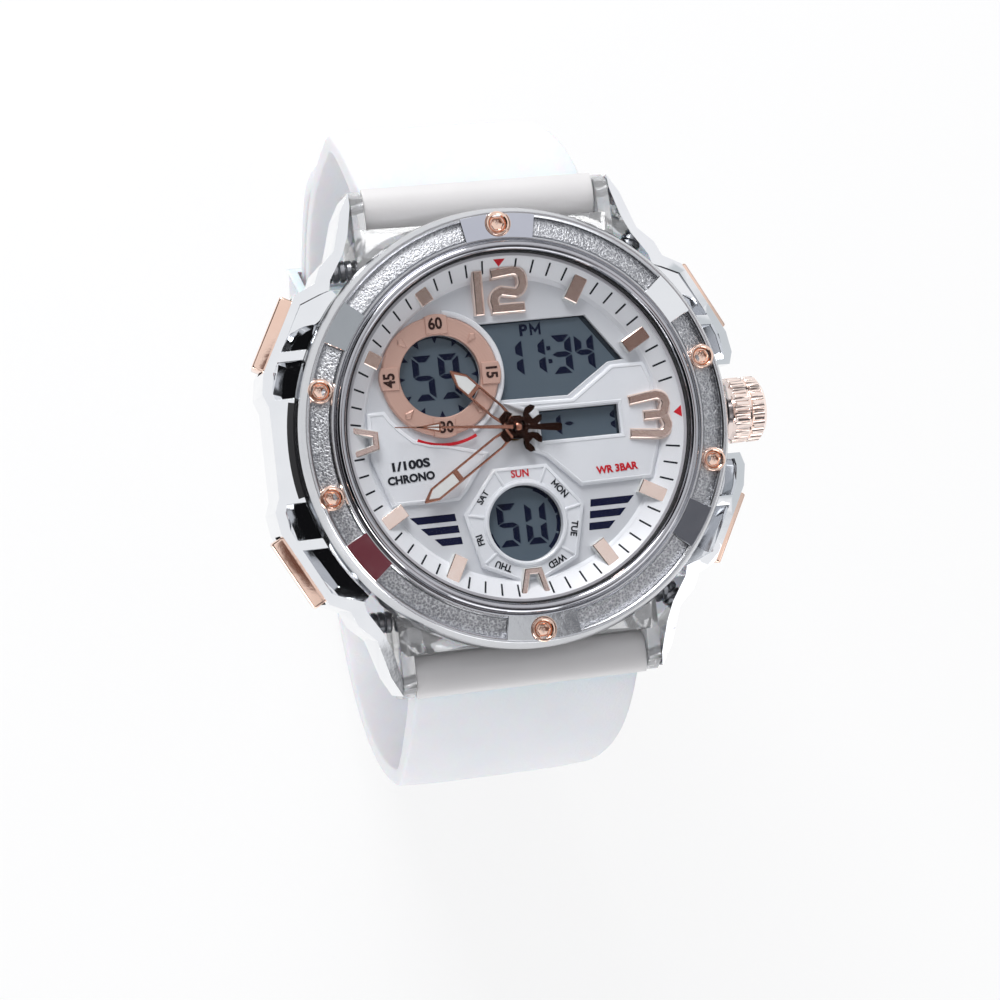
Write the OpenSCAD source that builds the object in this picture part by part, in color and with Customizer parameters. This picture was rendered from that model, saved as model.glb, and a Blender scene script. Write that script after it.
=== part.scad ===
// Analogue and digital sports watch, face up on its buckled strap.
// The origin is the middle of the case back's outer face: +Z is out of the
// dial, +Y towards 12 o'clock and +X towards 3 o'clock and the crown.

/* [Case] */
// Thickness of the case back plate
back_t = 1.5; // [1.2:0.1:2]
// Radius of the case back's round plate
back_r = 20.3; // [19.9:0.1:20.6]
// Height of the clear case middle
case_h = 7.5; // [7.3:0.1:8.5]
// Radius of the case middle's barrel
case_wall_r = 21.4; // [21:0.1:21.8]
// Radius of the bore that holds the module
case_bore_r = 17.3; // [17.2:0.1:17.6]
// Half of the gap between the lugs
lug_gap = 12.45; // [12:0.05:12.8]
// Thickness of a lug
lug_t = 1.35; // [1.1:0.05:1.8]
// Reach of a lug along Y from the middle of the case
lug_y = 26.3; // [26:0.1:27.5]
// Half of the corner blocks' length along Y
block_y = 22; // [21.6:0.1:22.6]
// Distance of a spring bar from the middle along Y
bar_y = 24.4; // [24:0.1:24.8]
// Height of the spring bars above the back
bar_z = 4.4; // [4:0.1:4.8]
// Radius of a spring bar's tube
bar_r = 0.9; // [0.7:0.05:1]
// Radius of a spring bar's tip
bar_tip_r = 0.5; // [0.4:0.05:0.6]
// Offset of the case screws from the middle along X
case_screw_x = 12.3; // [12.1:0.1:12.5]
// Offset of the case screws from the middle along Y
case_screw_y = 20; // [19.9:0.1:20.1]
// Radius of the brass inserts that take the case screws
insert_r = 1; // [0.85:0.05:1.05]

/* [Bezel and crystal] */
// Radius of the bezel's outer wall
bezel_r = 22.6; // [22.3:0.1:22.8]
// Height of the bezel above the case middle
bezel_h = 4.9; // [4.7:0.1:5.4]
// Width of the chamfer at the bezel's outer edge
bezel_chamfer = 0.6; // [0.3:0.1:0.9]
// Inner radius of the bezel's inlay recesses
inlay_r0 = 19.55; // [19.4:0.05:19.8]
// Outer radius of the bezel's inlay recesses
inlay_r1 = 21.5; // [21.2:0.05:21.7]
// Depth of the inlay recesses
inlay_depth = 0.75; // [0.4:0.05:1]
// Thickness of the inlays
inlay_t = 0.3; // [0.15:0.05:0.35]
// Half angle of the smooth blocks at 12 and 6
block_half = 10.5; // [9:0.5:12]
// Angle of the smooth side blocks from the 12 to 6 line
side_block = 55.8; // [54:0.1:58]
// Half angle of the smooth side blocks
side_half = 6.2; // [4:0.1:8]
// Radius of the circle through the bezel screws
bezel_screw_pitch = 20.75; // [20.6:0.05:20.9]
// Radius of a bezel screw's head
bezel_screw_r = 1.15; // [0.9:0.05:1.25]
// Height of a bezel screw's head
bezel_screw_h = 1.1; // [0.8:0.1:1.4]
// Radius of the crystal
crystal_r = 17.8; // [17.6:0.05:17.85]
// Thickness of the crystal
crystal_t = 1.2; // [1:0.1:1.5]
// Radial thickness of the crystal gasket
gasket_t = 0.18; // [0.1:0.02:0.2]
// Outer radius of the polished ring round the crystal
ring_r = 18.95; // [18.7:0.05:19]
// Height of the polished ring
ring_h = 1.3; // [1.1:0.1:1.6]

/* [Dial] */
// Thickness of the dial plate
dial_t = 0.4; // [0.3:0.05:0.5]
// Inner radius of the sloped minute track
track_r = 15.8; // [15.7:0.05:15.9]
// Rise of the minute track above the dial
track_h = 2.1; // [2:0.05:2.2]
// Height of the hour markers above the dial
marker_h = 1.6; // [1:0.1:1.7]
// Height of the 12, the 3 and the open markers above the dial
numeral_h = 1; // [0.7:0.05:1.1]
// Middle of the seconds window along X
sub_x = -7.2; // [-7.4:0.05:-7.1]
// Middle of the seconds window along Y
sub_y = 6; // [5.9:0.05:6.2]
// Radius of the seconds window
sub_r = 4.2; // [4:0.05:4.3]
// Outer radius of the seconds ring
sub_ring_r = 6.1; // [5.9:0.05:6.2]
// Middle of the weekday window along Y
day_y = -9.8; // [-10:0.05:-9.7]
// Radius of the weekday window
day_r = 3.9; // [3.7:0.05:4]
// Radius through the corners of the weekday frame
day_frame_r = 6.5; // [6:0.1:6.6]
// Height of the raised dial frames
relief_h = 0.45; // [0.2:0.05:0.6]

/* [Hands] */
// Length of the hour hand
hour_len = 8.9; // [8:0.1:9.2]
// Length of the minute hand
minute_len = 12.4; // [11:0.1:12.8]
// Length of the seconds hand
seconds_len = 12.8; // [11:0.1:13.6]
// Clockwise angle of the hour hand at rest
hour_angle = 315.5; // [0:0.5:360]
// Clockwise angle of the minute hand at rest
minute_angle = 237.2; // [0:0.1:360]
// Clockwise angle of the seconds hand at rest
seconds_angle = 275; // [0:1:360]
// Distance from the middle to the minute wheel's post
minute_post = 3; // [2.9:0.05:3.1]
// Distance from the middle to the third wheel's arbor
third_post = 4.25; // [4.2:0.05:4.3]

/* [Controls] */
// Height of the crown and the pushers above the back
control_z = 5.3; // [5.1:0.1:5.6]
// Angle of the pushers from the 3 to 9 line
pusher_angle = 28; // [27:0.5:29]
// Distance of the pushers' outer faces from the middle
pusher_out = 26.75; // [26.5:0.05:27]
// Thickness of a pusher's bar
pusher_t = 2.4; // [2.2:0.1:2.6]
// Length of a pusher's bar
pusher_len = 8; // [7:0.1:8.4]
// Height of a pusher's bar
pusher_h = 3; // [2.4:0.1:3.4]
// Travel of a pusher
pusher_travel = 0.7; // [0.5:0.1:0.8]
// Radius of a pusher's stem
stem_r = 0.6; // [0.5:0.02:0.64]
// Radius of the crown
crown_r = 3.5; // [3:0.1:3.6]
// Length of the crown
crown_len = 3.8; // [3.4:0.1:4.4]
// Distance of the crown's inner face from the middle
crown_in = 24.7; // [24.5:0.1:25]
// Number of flutes round the crown
crown_flutes = 24; // [18:1:30]

/* [Side guards] */
// Height of the guards' outer rim above the back, beside the bezel
guard_top = 9.8; // [9.4:0.1:10.2]
// Fall of a guard's top for each millimetre outwards
guard_slope = 0.3; // [0.2:0.02:0.36]
// Height of the guards' lower edge
guard_z = 1.3; // [1.1:0.1:1.6]
// Depth of the panels in the guards
panel_depth = 1.2; // [0.6:0.1:1.8]

/* [Strap] */
// Width of the strap at the lugs
strap_w = 24.4; // [23.8:0.1:24.6]
// Width of the strap at the buckle
strap_w_end = 20; // [18:0.5:21]
// Thickness of the strap at the buckle
strap_t = 2.4; // [2:0.1:2.8]
// Thickness of the strap beside the spring bars
strap_t_lug = 3.4; // [3:0.1:3.6]
// Widest half of the closed loop along Y
loop_y = 36; // [34:0.5:39]
// Straight length on each side of the loop, below its widest point
loop_drop = 4; // [2:0.5:8]
// Half of the loop's straight bottom
loop_flat = 9; // [9:0.5:11]
// Gap between the two layers of the strap
layer_gap = 0.3; // [0.2:0.05:0.5]
// Radius of the buckle bar
buckle_bar_r = 0.75; // [0.6:0.05:0.9]

/* [Hidden] */
$fn = 96;

// Small clearances: a fixed fit, a running fit and an overcut
fit = 0.02;
run = 0.05;
over = 0.01;
small_fn = 32;

// Levels up the case, from the outer face of the back
z_case = back_t;
z_split = z_case + case_h;
z_land = z_split + bezel_h;
z_screw = z_land + 0.1;
ledge_z = z_land - 0.7;
z_dial = ledge_z - track_h;
z_dial_under = z_dial - dial_t;
z_lcd = z_dial_under - 0.05;
lcd_t = 1;
z_glass = ledge_z + 0.2;

// Radii that follow the case and the bezel
bezel_bore_r = crystal_r + gasket_t + fit;
ring_bore_r = bezel_bore_r;
ring_seat_r = ring_r + 0.1;
module_r = case_bore_r - 0.5;
window_wall = 0.7;
lug_x = lug_gap + lug_t;

// Levels of the hands and the wheels, from the dial
z_hour = z_dial + 0.85;
z_minute = z_dial + 1.3;
z_seconds = z_dial + 1.75;
hand_t = 0.2;
z_works = z_lcd - lcd_t - 0.35;
wheel_t = 0.3;
z_plate = z_works - 1.05;
z_train = z_plate - 0.8;

// Radii of the nested pipes at the middle of the dial
arbor_r = 0.25;
cannon_bore_r = arbor_r + run;
cannon_pipe_r = 0.5;
hour_bore_r = cannon_pipe_r + run;
hour_pipe_r = 0.85;
pipe_hole_r = hour_pipe_r + 0.25;

// Tooth counts of the train: the minute wheel and the third wheel each have a pinion
cannon_teeth = 12;
minute_teeth = 36;
minute_pinion_teeth = 10;
hour_teeth = 40;
seconds_pinion_teeth = 8;
third_teeth = 60;
third_pinion_teeth = 8;
centre_teeth = 64;
minute_post_angle = 150;
third_post_angle = 240;
minute_module = 2 * minute_post / (cannon_teeth + minute_teeth);
hour_module = 2 * minute_post / (minute_pinion_teeth + hour_teeth);
centre_module = 2 * third_post / (third_pinion_teeth + centre_teeth);
seconds_module = 2 * third_post / (seconds_pinion_teeth + third_teeth);

// The strap's path is two arcs and two straights on each side, from the spring bar
// to the middle of the loop's bottom, and the same in mirror to the other bar
arc_mid_z = -20;
hinge_drop = bar_z - arc_mid_z;
arc_mid_y = (loop_y * loop_y - bar_y * bar_y - hinge_drop * hinge_drop) / (2 * (loop_y - bar_y));
arc_r = loop_y - arc_mid_y;
arc_start = atan2(hinge_drop, bar_y - arc_mid_y);
lower_r = loop_y - loop_flat;
arc_len = arc_r * arc_start * PI / 180;
lower_len = lower_r * PI / 2;
side_len = arc_len + loop_drop + lower_len;
half_len = side_len + loop_flat;
full_len = 2 * half_len;
lower_mid_z = arc_mid_z - loop_drop;
bottom_z = lower_mid_z - lower_r;

// Outline of a guard for +X and +Y, outer edge from the lug to 3 o'clock, then inner edge back
guard_outer = [[13.9, 26], [15, 24], [16.2, 20], [17.9, 18.4], [18.6, 16.8], [20.7, 15.8],
    [24.75, 8.2], [25.1, 6], [24.6, 4.6]];
guard_inner = [[15.5, 14], [17.4, 15.2], [17, 17], [15.4, 19.5], [14.6, 21.5], [13.9, 24.6]];
panel_low = [[20, 5.3], [23.9, 5.3], [24.1, 6.1], [23.8, 8], [23.3, 9.1], [20, 9.1]];
panel_high = [[18, 10.1], [22.8, 10.1], [20.3, 14.8], [18.3, 15.6], [17, 16], [15.5, 14]];
guard_peg_y = 18.3;
guard_peg_z = 5;
guard_peg_r = 0.5;
guard_peg_in = 1.5;
guard_peg_out = 16.9;
guard_web = 1.9;

// Windows and raised areas of the dial
lcd_window = [[-6, 10.95], [8.8, 11], [12.4, 6.1], [10.7, 5.95], [6.1, 2.9], [-6, 3]];
date_window = [[2.7, 1.5], [11.2, 1.5], [11.2, -1.6], [2.7, -1.6]];
relief_right = [[-0.9, 2.6], [6.4, 2.5], [10.9, 5.6], [14.4, 5.6], [15.2, 3.4], [15.3, -2.6],
    [14.1, -6.5], [6.3, -6.6], [2.9, -3.2], [1.6, -2.6], [1.6, 2]];
relief_left = [[-15.2, 2.9], [-12.8, 3], [-10.6, -0.2], [-7.2, -1], [-3, -2.2], [-5.6, -5.8],
    [-6.6, -6.8], [-13.6, -6.8], [-15.2, -2]];
marker_len = 3.2;
marker_w = 1.45;
marker_mid_r = 16;

function clock(a, r) = [r * sin(a), r * cos(a)];
function flip_y(points) = [for (p = points) [p.x, -p.y]];

// A point of the loop at length l from the 6 o'clock spring bar, as [y, z, normal y, normal z]
function side_point(l) =
    l < arc_len ?
        let(a = arc_start - l / arc_r * 180 / PI)
        [arc_mid_y + arc_r * cos(a), arc_mid_z + arc_r * sin(a), cos(a), sin(a)] :
    l < arc_len + loop_drop ? [loop_y, arc_mid_z - (l - arc_len), 1, 0] :
    l < side_len ?
        let(a = (l - arc_len - loop_drop) / lower_r * 180 / PI)
        [loop_flat + lower_r * cos(a), lower_mid_z - lower_r * sin(a), cos(a), -sin(a)] :
    [loop_flat - (l - side_len), bottom_z, 0, -1];
function loop_point(l) =
    let(p = side_point(l <= half_len ? l : full_len - l), s = l <= half_len ? -1 : 1)
    [s * p[0], p[1], s * p[2], p[3]];
function ease(t) = let(u = min(1, max(0, t))) u * u * (3 - 2 * u);

// The strap's layers: depth is measured outwards from the loop's inner face. The long
// strap steps from the inner layer to the outer one between the buckle's rail and its bar
buckle_y = 1.4;
buckle_at = [buckle_y, bottom_z];
buckle_eye_r = strap_t / 2 + 0.1;
rail_r = 0.85;
rail_at = [buckle_y - 9.7, bottom_z - strap_t / 2 - layer_gap - rail_r];
prong_w = 1.3;
prong_t = 0.8;
prong_root_r = 1.15;
buckle_tip_r = buckle_bar_r - 0.25;
keeper_t = 1.2;
keeper_band = 0.7;
keeper_w = 4;
keeper_y = 4.4;
step_from = half_len - 7.4;
step_to = half_len - 1.2;
prong_hole_l = half_len - 3.35;
hole_pitch = 6.5;
hole_r = 1;
tail_end = full_len - arc_len - loop_drop - 5;
function long_depth(l) = (strap_t + layer_gap) * ease((l - step_from) / (step_to - step_from));
function lug_extra(l, from) = (strap_t_lug - strap_t) / 2 * (1 - ease(abs(l - from) / 16));
function ribbon_point(l, depth) =
    let(p = loop_point(l), d = depth - strap_t / 2) [p[0] + d * p[2], p[1] + d * p[3]];

// Cross section helpers
module tube(r_out, r_in, h, fn = $fn) {
    difference() {
        cylinder(r = r_out, h = h, $fn = fn);
        translate([0, 0, -over]) cylinder(r = r_in, h = h + 2 * over, $fn = fn);
    }
}

module wedge(a0, a1, r, h) {
    linear_extrude(h)
        polygon(concat([[0, 0]], [for (i = [0:4]) clock(a0 + (a1 - a0) * i / 4, r * 1.2)]));
}

module ring_sector(r0, r1, a0, a1, h) {
    intersection() {
        tube(r1, r0, h);
        translate([0, 0, -over]) wedge(a0, a1, r1, h + 2 * over);
    }
}

module on_x(x, y, z) {
    translate([x, y, z]) rotate([0, 90, 0]) children();
}

// Outward along X first, then turned to a control's own direction
module at_control(angle) {
    rotate([0, 0, angle]) translate([0, 0, control_z]) rotate([0, 90, 0]) children();
}

// Outline of a path with a width, with mitred corners and square ends
function unit(v) = v / norm(v);
function left_of(d) = [-d.y, d.x];
function corner_shift(points, i) =
    let(a = unit(points[max(i, 1)] - points[max(i, 1) - 1]),
        b = unit(points[min(i + 1, len(points) - 1)] - points[min(i, len(points) - 2)]),
        n = left_of(a) + left_of(b))
    2 * n / (n * n);
function band(points, w) = concat(
    [for (i = [0:len(points) - 1]) points[i] + corner_shift(points, i) * w / 2],
    [for (i = [len(points) - 1:-1:0]) points[i] - corner_shift(points, i) * w / 2]);

module stroke(points, w) {
    for (i = [0:len(points) - 2])
        let(p = points[i], q = points[i + 1], d = q - p)
        translate(p) rotate(atan2(d.y, d.x)) translate([0, -w / 2]) square([norm(d), w]);
    for (p = points) translate(p) circle(d = w, $fn = small_fn);
}

module gear(teeth, module_mm, h, bore_r) {
    pitch = teeth * module_mm / 2;
    tip = pitch + 0.8 * module_mm;
    root = pitch - 1.15 * module_mm;
    step = 360 / teeth;
    linear_extrude(h)
        difference() {
            polygon([for (i = [0:teeth - 1]) each [
                clock(i * step - 0.3 * step, root), clock(i * step - 0.11 * step, tip),
                clock(i * step + 0.11 * step, tip), clock(i * step + 0.3 * step, root)]]);
            circle(r = bore_r, $fn = small_fn);
        }
}

// Turns a middle gear so that a gap between its teeth faces the wheel at that clock angle
module facing(angle, teeth) {
    rotate([0, 0, -angle - 180 / teeth]) children();
}

module spoked_gear(teeth, module_mm, h, bore_r) {
    pitch = teeth * module_mm / 2;
    difference() {
        gear(teeth, module_mm, h, bore_r);
        for (i = [0:3])
            rotate([0, 0, 90 * i + 45]) translate([pitch * 0.55, 0, -over])
                cylinder(r = pitch * 0.22, h = h + 2 * over, $fn = small_fn);
    }
}

pusher_angles = [pusher_angle, -pusher_angle, 180 + pusher_angle, 180 - pusher_angle];
bezel_screw_angles = [0, 75, 105, 180, 255, 285];
inlay_arcs = [[block_half, side_block - side_half], [side_block + side_half, 180 - side_block - side_half],
    [180 - side_block + side_half, 180 - block_half]];
tube_r = 1.1;
tube_bore_r = stem_r + run;
tube_in = case_bore_r + 0.1;
tube_out = case_wall_r + 0.2;
crown_tube_r = 1.3;
skirt_r = crown_tube_r + 0.48;
bezel_shank_r = 0.55;
bezel_shank_in = 2.8;
crown_stem_r = 0.55;
crown_tube_out = crown_in + 1.3;
case_screw_shank_r = 0.6;
insert_z = z_case + 2.5;
insert_h = 3.6;
cover_r = 3.2;
cover_t = 0.85;
cover_from = 48;
cover_to = 172;
cover_seat_r = cover_r + fit;
strap_eye_r = cover_r - cover_t - 0.25;
gasket_seat = 0.5;
case_step = 0.8;

module at_case_screws() {
    for (sx = [-1, 1], sy = [-1, 1]) translate([sx * case_screw_x, sy * case_screw_y, 0]) children();
}

module at_bezel_screws() {
    for (a = bezel_screw_angles) translate(concat(clock(a, bezel_screw_pitch), [0])) children();
}

module at_bars() {
    for (sy = [-1, 1]) translate([0, sy * bar_y, bar_z]) children();
}

module case_middle() {
    lug_top = z_split - 1;
    peg_hole = guard_peg_in + 0.1;
    seat_y = bar_y - strap_eye_r - 0.7;
    color([0.9, 0.93, 0.95, 0.4])
    difference() {
        union() {
            translate([0, 0, z_case]) cylinder(r = case_wall_r, h = case_h);
            translate([-lug_x, -block_y, z_case]) cube([2 * lug_x, 2 * block_y, case_h - case_step]);
            for (sx = [-1, 1], sy = [-1, 1])
                scale([sx, sy, 1]) translate([lug_gap, 0, 0]) rotate([90, 0, 90])
                    linear_extrude(lug_t)
                        polygon([[block_y - 5, z_case], [lug_y - 1.4, z_case], [lug_y, z_case + 1.6],
                            [lug_y, lug_top - 1.8], [lug_y - 1, lug_top], [block_y, z_split - case_step],
                            [block_y - 5, z_split - case_step]]);
        }
        translate([0, 0, z_case - over]) cylinder(r = case_bore_r, h = case_h + 2 * over);
        // Concave seats for the strap covers, and room for the strap below them
        for (sy = [-1, 1])
            scale([1, sy, 1]) {
                on_x(-lug_gap, bar_y, bar_z) cylinder(r = cover_seat_r, h = 2 * lug_gap);
                translate([-lug_gap, seat_y, z_case - over]) cube([2 * lug_gap, 2, bar_z - z_case]);
            }
        // Spring bar tips
        for (sy = [-1, 1])
            on_x(-lug_x - over, sy * bar_y, bar_z)
                cylinder(r = bar_tip_r + fit, h = 2 * lug_x + 2 * over, $fn = small_fn);
        // Grooves for the two gaskets
        translate([0, 0, z_split - gasket_seat]) tube(19.45, 18.55, gasket_seat + over);
        translate([0, 0, z_case - over]) tube(19.15, 18.25, gasket_seat + over);
        at_case_screws() {
            translate([0, 0, z_case - over])
                cylinder(r = case_screw_shank_r + run, h = insert_z - z_case + 2 * over, $fn = small_fn);
            translate([0, 0, insert_z]) cylinder(r = insert_r + fit, h = insert_h, $fn = small_fn);
        }
        at_bezel_screws() translate([0, 0, z_split - bezel_shank_in - 0.2])
            cylinder(r = bezel_shank_r + fit, h = bezel_shank_in + 1, $fn = small_fn);
        for (sx = [-1, 1], sy = [-1, 1])
            scale([sx, sy, 1]) on_x(lug_x - peg_hole, guard_peg_y, guard_peg_z)
                cylinder(r = guard_peg_r + fit, h = peg_hole + over, $fn = small_fn);
        for (a = pusher_angles)
            at_control(a) translate([0, 0, case_bore_r - 1])
                cylinder(r = tube_r + fit, h = 8, $fn = small_fn);
        at_control(0) translate([0, 0, case_bore_r - 1])
            cylinder(r = crown_tube_r + fit, h = 8, $fn = small_fn);
    }
}

module thread_inserts() {
    color("goldenrod")
    at_case_screws() translate([0, 0, insert_z])
        tube(insert_r, case_screw_shank_r + fit, insert_h - fit, small_fn);
}

// A roof that falls outwards from the bezel, and the solid under it
module under_roof(lower_by) {
    rotate_extrude()
        polygon([[0, 0], [0, guard_top + 0.3 * bezel_r - lower_by],
            [0.01, guard_top + guard_slope * bezel_r - lower_by],
            [34, guard_top + guard_slope * (bezel_r - 34) - lower_by], [34, 0]]);
}

module guard_half() {
    linear_extrude(z_split + 4)
        polygon(concat(guard_outer, [[24.6, -over], [15.5, -over]], guard_inner));
}

module guard_panels() {
    difference() {
        linear_extrude(z_split + 5) {
            polygon(panel_low);
            polygon(panel_high);
            polygon(flip_y(panel_low));
            polygon(flip_y(panel_high));
        }
        under_roof(panel_depth);
    }
}

module guard_plain() {
    slot = [pusher_h + 0.4, pusher_len + 0.4, 6];
    slot_from = case_wall_r + guard_web;
    peg_from = lug_x - guard_peg_in;
    intersection() {
        difference() {
            union() {
                guard_half();
                mirror([0, 1, 0]) guard_half();
            }
            translate([0, 0, -over]) cylinder(r = case_wall_r + run, h = z_split + 2 * over);
            translate([0, 0, z_split - run]) cylinder(r = bezel_r + run, h = 9);
            translate([0, 0, -over]) cube([60, 80, 2 * guard_z], center = true);
            guard_panels();
            for (s = [-1, 1])
                at_control(s * pusher_angle) {
                    translate([-slot.x / 2, -slot.y / 2, slot_from]) cube(slot);
                    translate([0, 0, case_wall_r - 2]) cylinder(r = 1.5, h = 6, $fn = small_fn);
                }
        }
        under_roof(0);
    }
    for (sy = [-1, 1])
        on_x(peg_from, sy * guard_peg_y, guard_peg_z)
            cylinder(r = guard_peg_r, h = guard_peg_out - peg_from, $fn = small_fn);
}

module guard_left() {
    color([0.82, 0.83, 0.85]) mirror([1, 0, 0]) guard_plain();
}

module guard_right() {
    web = 22.9;
    color([0.82, 0.83, 0.85])
    difference() {
        guard_plain();
        translate([web, -4.7, 0]) cube([5, 9.4, 20]);
        at_control(0) translate([0, 0, case_wall_r - 3])
            cylinder(r = crown_tube_r + run, h = 6, $fn = small_fn);
    }
}

module inlay_set(r0, r1, h, gap) {
    turn = gap / r0 * 180 / PI;
    for (arc = inlay_arcs, s = [-1, 1])
        ring_sector(r0, r1, min(s * arc[0], s * arc[1]) + turn, max(s * arc[0], s * arc[1]) - turn, h);
}

module bezel() {
    color([0.8, 0.81, 0.83])
    difference() {
        rotate_extrude()
            polygon([[bezel_bore_r, z_split], [bezel_r, z_split], [bezel_r, z_land - 1.3],
                [bezel_r - bezel_chamfer, z_land], [ring_seat_r, z_land], [ring_seat_r, ledge_z],
                [bezel_bore_r, ledge_z]]);
        translate([0, 0, z_land - inlay_depth]) inlay_set(inlay_r0, inlay_r1, inlay_depth + over, 0);
        at_bezel_screws() {
            translate([0, 0, z_split - over]) cylinder(r = bezel_shank_r + run, h = 9, $fn = small_fn);
            translate([0, 0, z_screw - bezel_screw_h])
                cylinder(r = bezel_screw_r + run, h = 3, $fn = small_fn);
        }
    }
}

module bezel_inlays() {
    color([0.55, 0.57, 0.6])
    difference() {
        translate([0, 0, z_land - inlay_depth]) inlay_set(inlay_r0 + fit, inlay_r1 - fit, inlay_t, fit);
        at_bezel_screws() translate([0, 0, z_split]) cylinder(r = bezel_screw_r + run, h = 9, $fn = small_fn);
    }
}

module bezel_screws() {
    color([0.85, 0.6, 0.52])
    at_bezel_screws() {
        difference() {
            translate([0, 0, z_screw - bezel_screw_h])
                cylinder(r = bezel_screw_r, h = bezel_screw_h, $fn = small_fn);
            translate([0, 0, z_screw - 0.7]) cylinder(r = 0.62, h = 1, $fn = 6);
        }
        translate([0, 0, z_split - bezel_shank_in])
            cylinder(r = bezel_shank_r, h = z_screw - bezel_screw_h - z_split + bezel_shank_in + over,
                $fn = small_fn);
    }
}

module bezel_gasket() {
    color([0.15, 0.15, 0.16])
    translate([0, 0, z_split - gasket_seat + fit]) tube(19.4, 18.6, gasket_seat - fit);
}

module crystal() {
    edge = 0.2;
    color([0.85, 0.9, 0.92, 0.3])
    translate([0, 0, z_glass]) {
        cylinder(r = crystal_r, h = crystal_t - edge);
        translate([0, 0, crystal_t - edge - over])
            cylinder(r1 = crystal_r, r2 = crystal_r - edge, h = edge + over);
    }
}

module crystal_gasket() {
    color([0.12, 0.12, 0.13]) {
        translate([0, 0, ledge_z + fit])
            difference() {
                cylinder(r = crystal_r + gasket_t, h = z_glass - ledge_z + crystal_t - 0.35);
                translate([0, 0, -over]) cylinder(r = crystal_r - 0.25, h = 5);
                translate([0, 0, z_glass - ledge_z - 2 * fit]) cylinder(r = crystal_r + fit, h = 5);
            }
    }
}

module crystal_ring() {
    color([0.86, 0.87, 0.88])
    rotate_extrude()
        polygon([[ring_bore_r, ledge_z], [ring_r, ledge_z], [ring_r, ledge_z + ring_h * 0.7],
            [ring_r - 0.15, ledge_z + ring_h * 0.9], [ring_r - 0.4, ledge_z + ring_h],
            [ring_bore_r + 0.35, ledge_z + ring_h], [ring_bore_r + 0.12, ledge_z + ring_h * 0.93],
            [ring_bore_r, ledge_z + ring_h * 0.8]]);
}

module marker_cuts(gap) {
    for (a = [30, 60, 120, 150, 210, 240, 300, 330])
        rotate([0, 0, -a])
            translate([-marker_w / 2 - gap, marker_mid_r - marker_len / 2 - gap, 0])
                linear_extrude(6) square([marker_w + 2 * gap, marker_len + 2 * gap]);
    for (a = [180, 270])
        rotate([0, 0, -a]) linear_extrude(6)
            polygon([[-0.95 - gap, 14.4 - gap], [0.95 + gap, 14.4 - gap],
                [1.75 + gap, 17.6 + gap], [-1.75 - gap, 17.6 + gap]]);
}

module numeral_plates(gap) {
    linear_extrude(6) {
        translate([-3.4 - gap, 11.7 - gap]) square([6.3 + 2 * gap, 4.8 + 2 * gap]);
        translate([11.5 - gap, -2.3 - gap]) square([4.9 + 2 * gap, 4.5 + 2 * gap]);
    }
}

module minute_track() {
    lip = ledge_z - fit;
    color([0.93, 0.93, 0.94])
    difference() {
        rotate_extrude()
            polygon([[track_r, z_dial], [bezel_bore_r - run, z_dial], [bezel_bore_r - run, lip],
                [crystal_r, lip]]);
        translate([0, 0, z_dial]) marker_cuts(0.04);
        translate([0, 0, z_dial]) numeral_plates(0.04);
    }
}

module dial_plate() {
    color([0.9, 0.91, 0.92])
    difference() {
        translate([0, 0, z_dial_under]) cylinder(r = bezel_bore_r - run, h = dial_t);
        translate([0, 0, z_dial_under - over]) {
            cylinder(r = pipe_hole_r, h = 1, $fn = small_fn);
            translate([sub_x, sub_y, 0]) cylinder(r = sub_r, h = 1);
            translate([0, day_y, 0]) cylinder(r = day_r, h = 1);
            linear_extrude(1)
                difference() {
                    polygon(lcd_window);
                    translate([sub_x, sub_y]) circle(r = sub_ring_r + window_wall);
                }
            linear_extrude(1) polygon(date_window);
        }
    }
}

module dial_relief() {
    color([0.95, 0.95, 0.96])
    translate([0, 0, z_dial])
    difference() {
        linear_extrude(relief_h) {
            polygon(relief_right);
            polygon(relief_left);
        }
        translate([0, 0, -over]) {
            linear_extrude(1) polygon(date_window);
            cylinder(r = 1.9, h = 1, $fn = small_fn);
            translate([sub_x, sub_y, 0]) cylinder(r = sub_ring_r + window_wall, h = 1);
            translate([0, day_y, 0]) cylinder(r = day_frame_r + 0.2, h = 1);
            marker_cuts(0.1);
            numeral_plates(0.1);
        }
        tube(30, track_r - 0.05, 1);
    }
}

module weekday_frame() {
    sides = 7;
    color([0.95, 0.95, 0.96])
    intersection() {
        difference() {
            union() {
                translate([0, day_y, z_dial]) rotate([0, 0, 180 / sides + 90])
                    linear_extrude(0.55) circle(r = day_frame_r, $fn = sides);
                translate([0, day_y, z_dial]) tube(day_r + 0.45, day_r, 0.75);
            }
            translate([0, day_y, z_dial - over]) cylinder(r = day_r, h = 2);
            translate([0, 0, z_dial]) marker_cuts(0.04);
        }
        translate([0, 0, z_dial]) cylinder(r = track_r - 0.05, h = 2);
    }
}

module seconds_ring() {
    tab = 2.3;
    color([0.84, 0.66, 0.6])
    difference() {
        intersection() {
            translate([sub_x, sub_y, z_dial]) {
                tube(sub_ring_r, sub_r, 0.5);
                for (a = [0, 90, 180, 270])
                    rotate([0, 0, a + 4]) translate([-tab / 2, sub_r + 0.1, 0])
                        cube([tab, sub_ring_r - sub_r + 0.25, 0.7]);
            }
            translate([0, 0, z_dial]) cylinder(r = track_r - 0.05, h = 2);
        }
        translate([0, 0, z_dial - over]) marker_cuts(0.04);
    }
}

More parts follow.
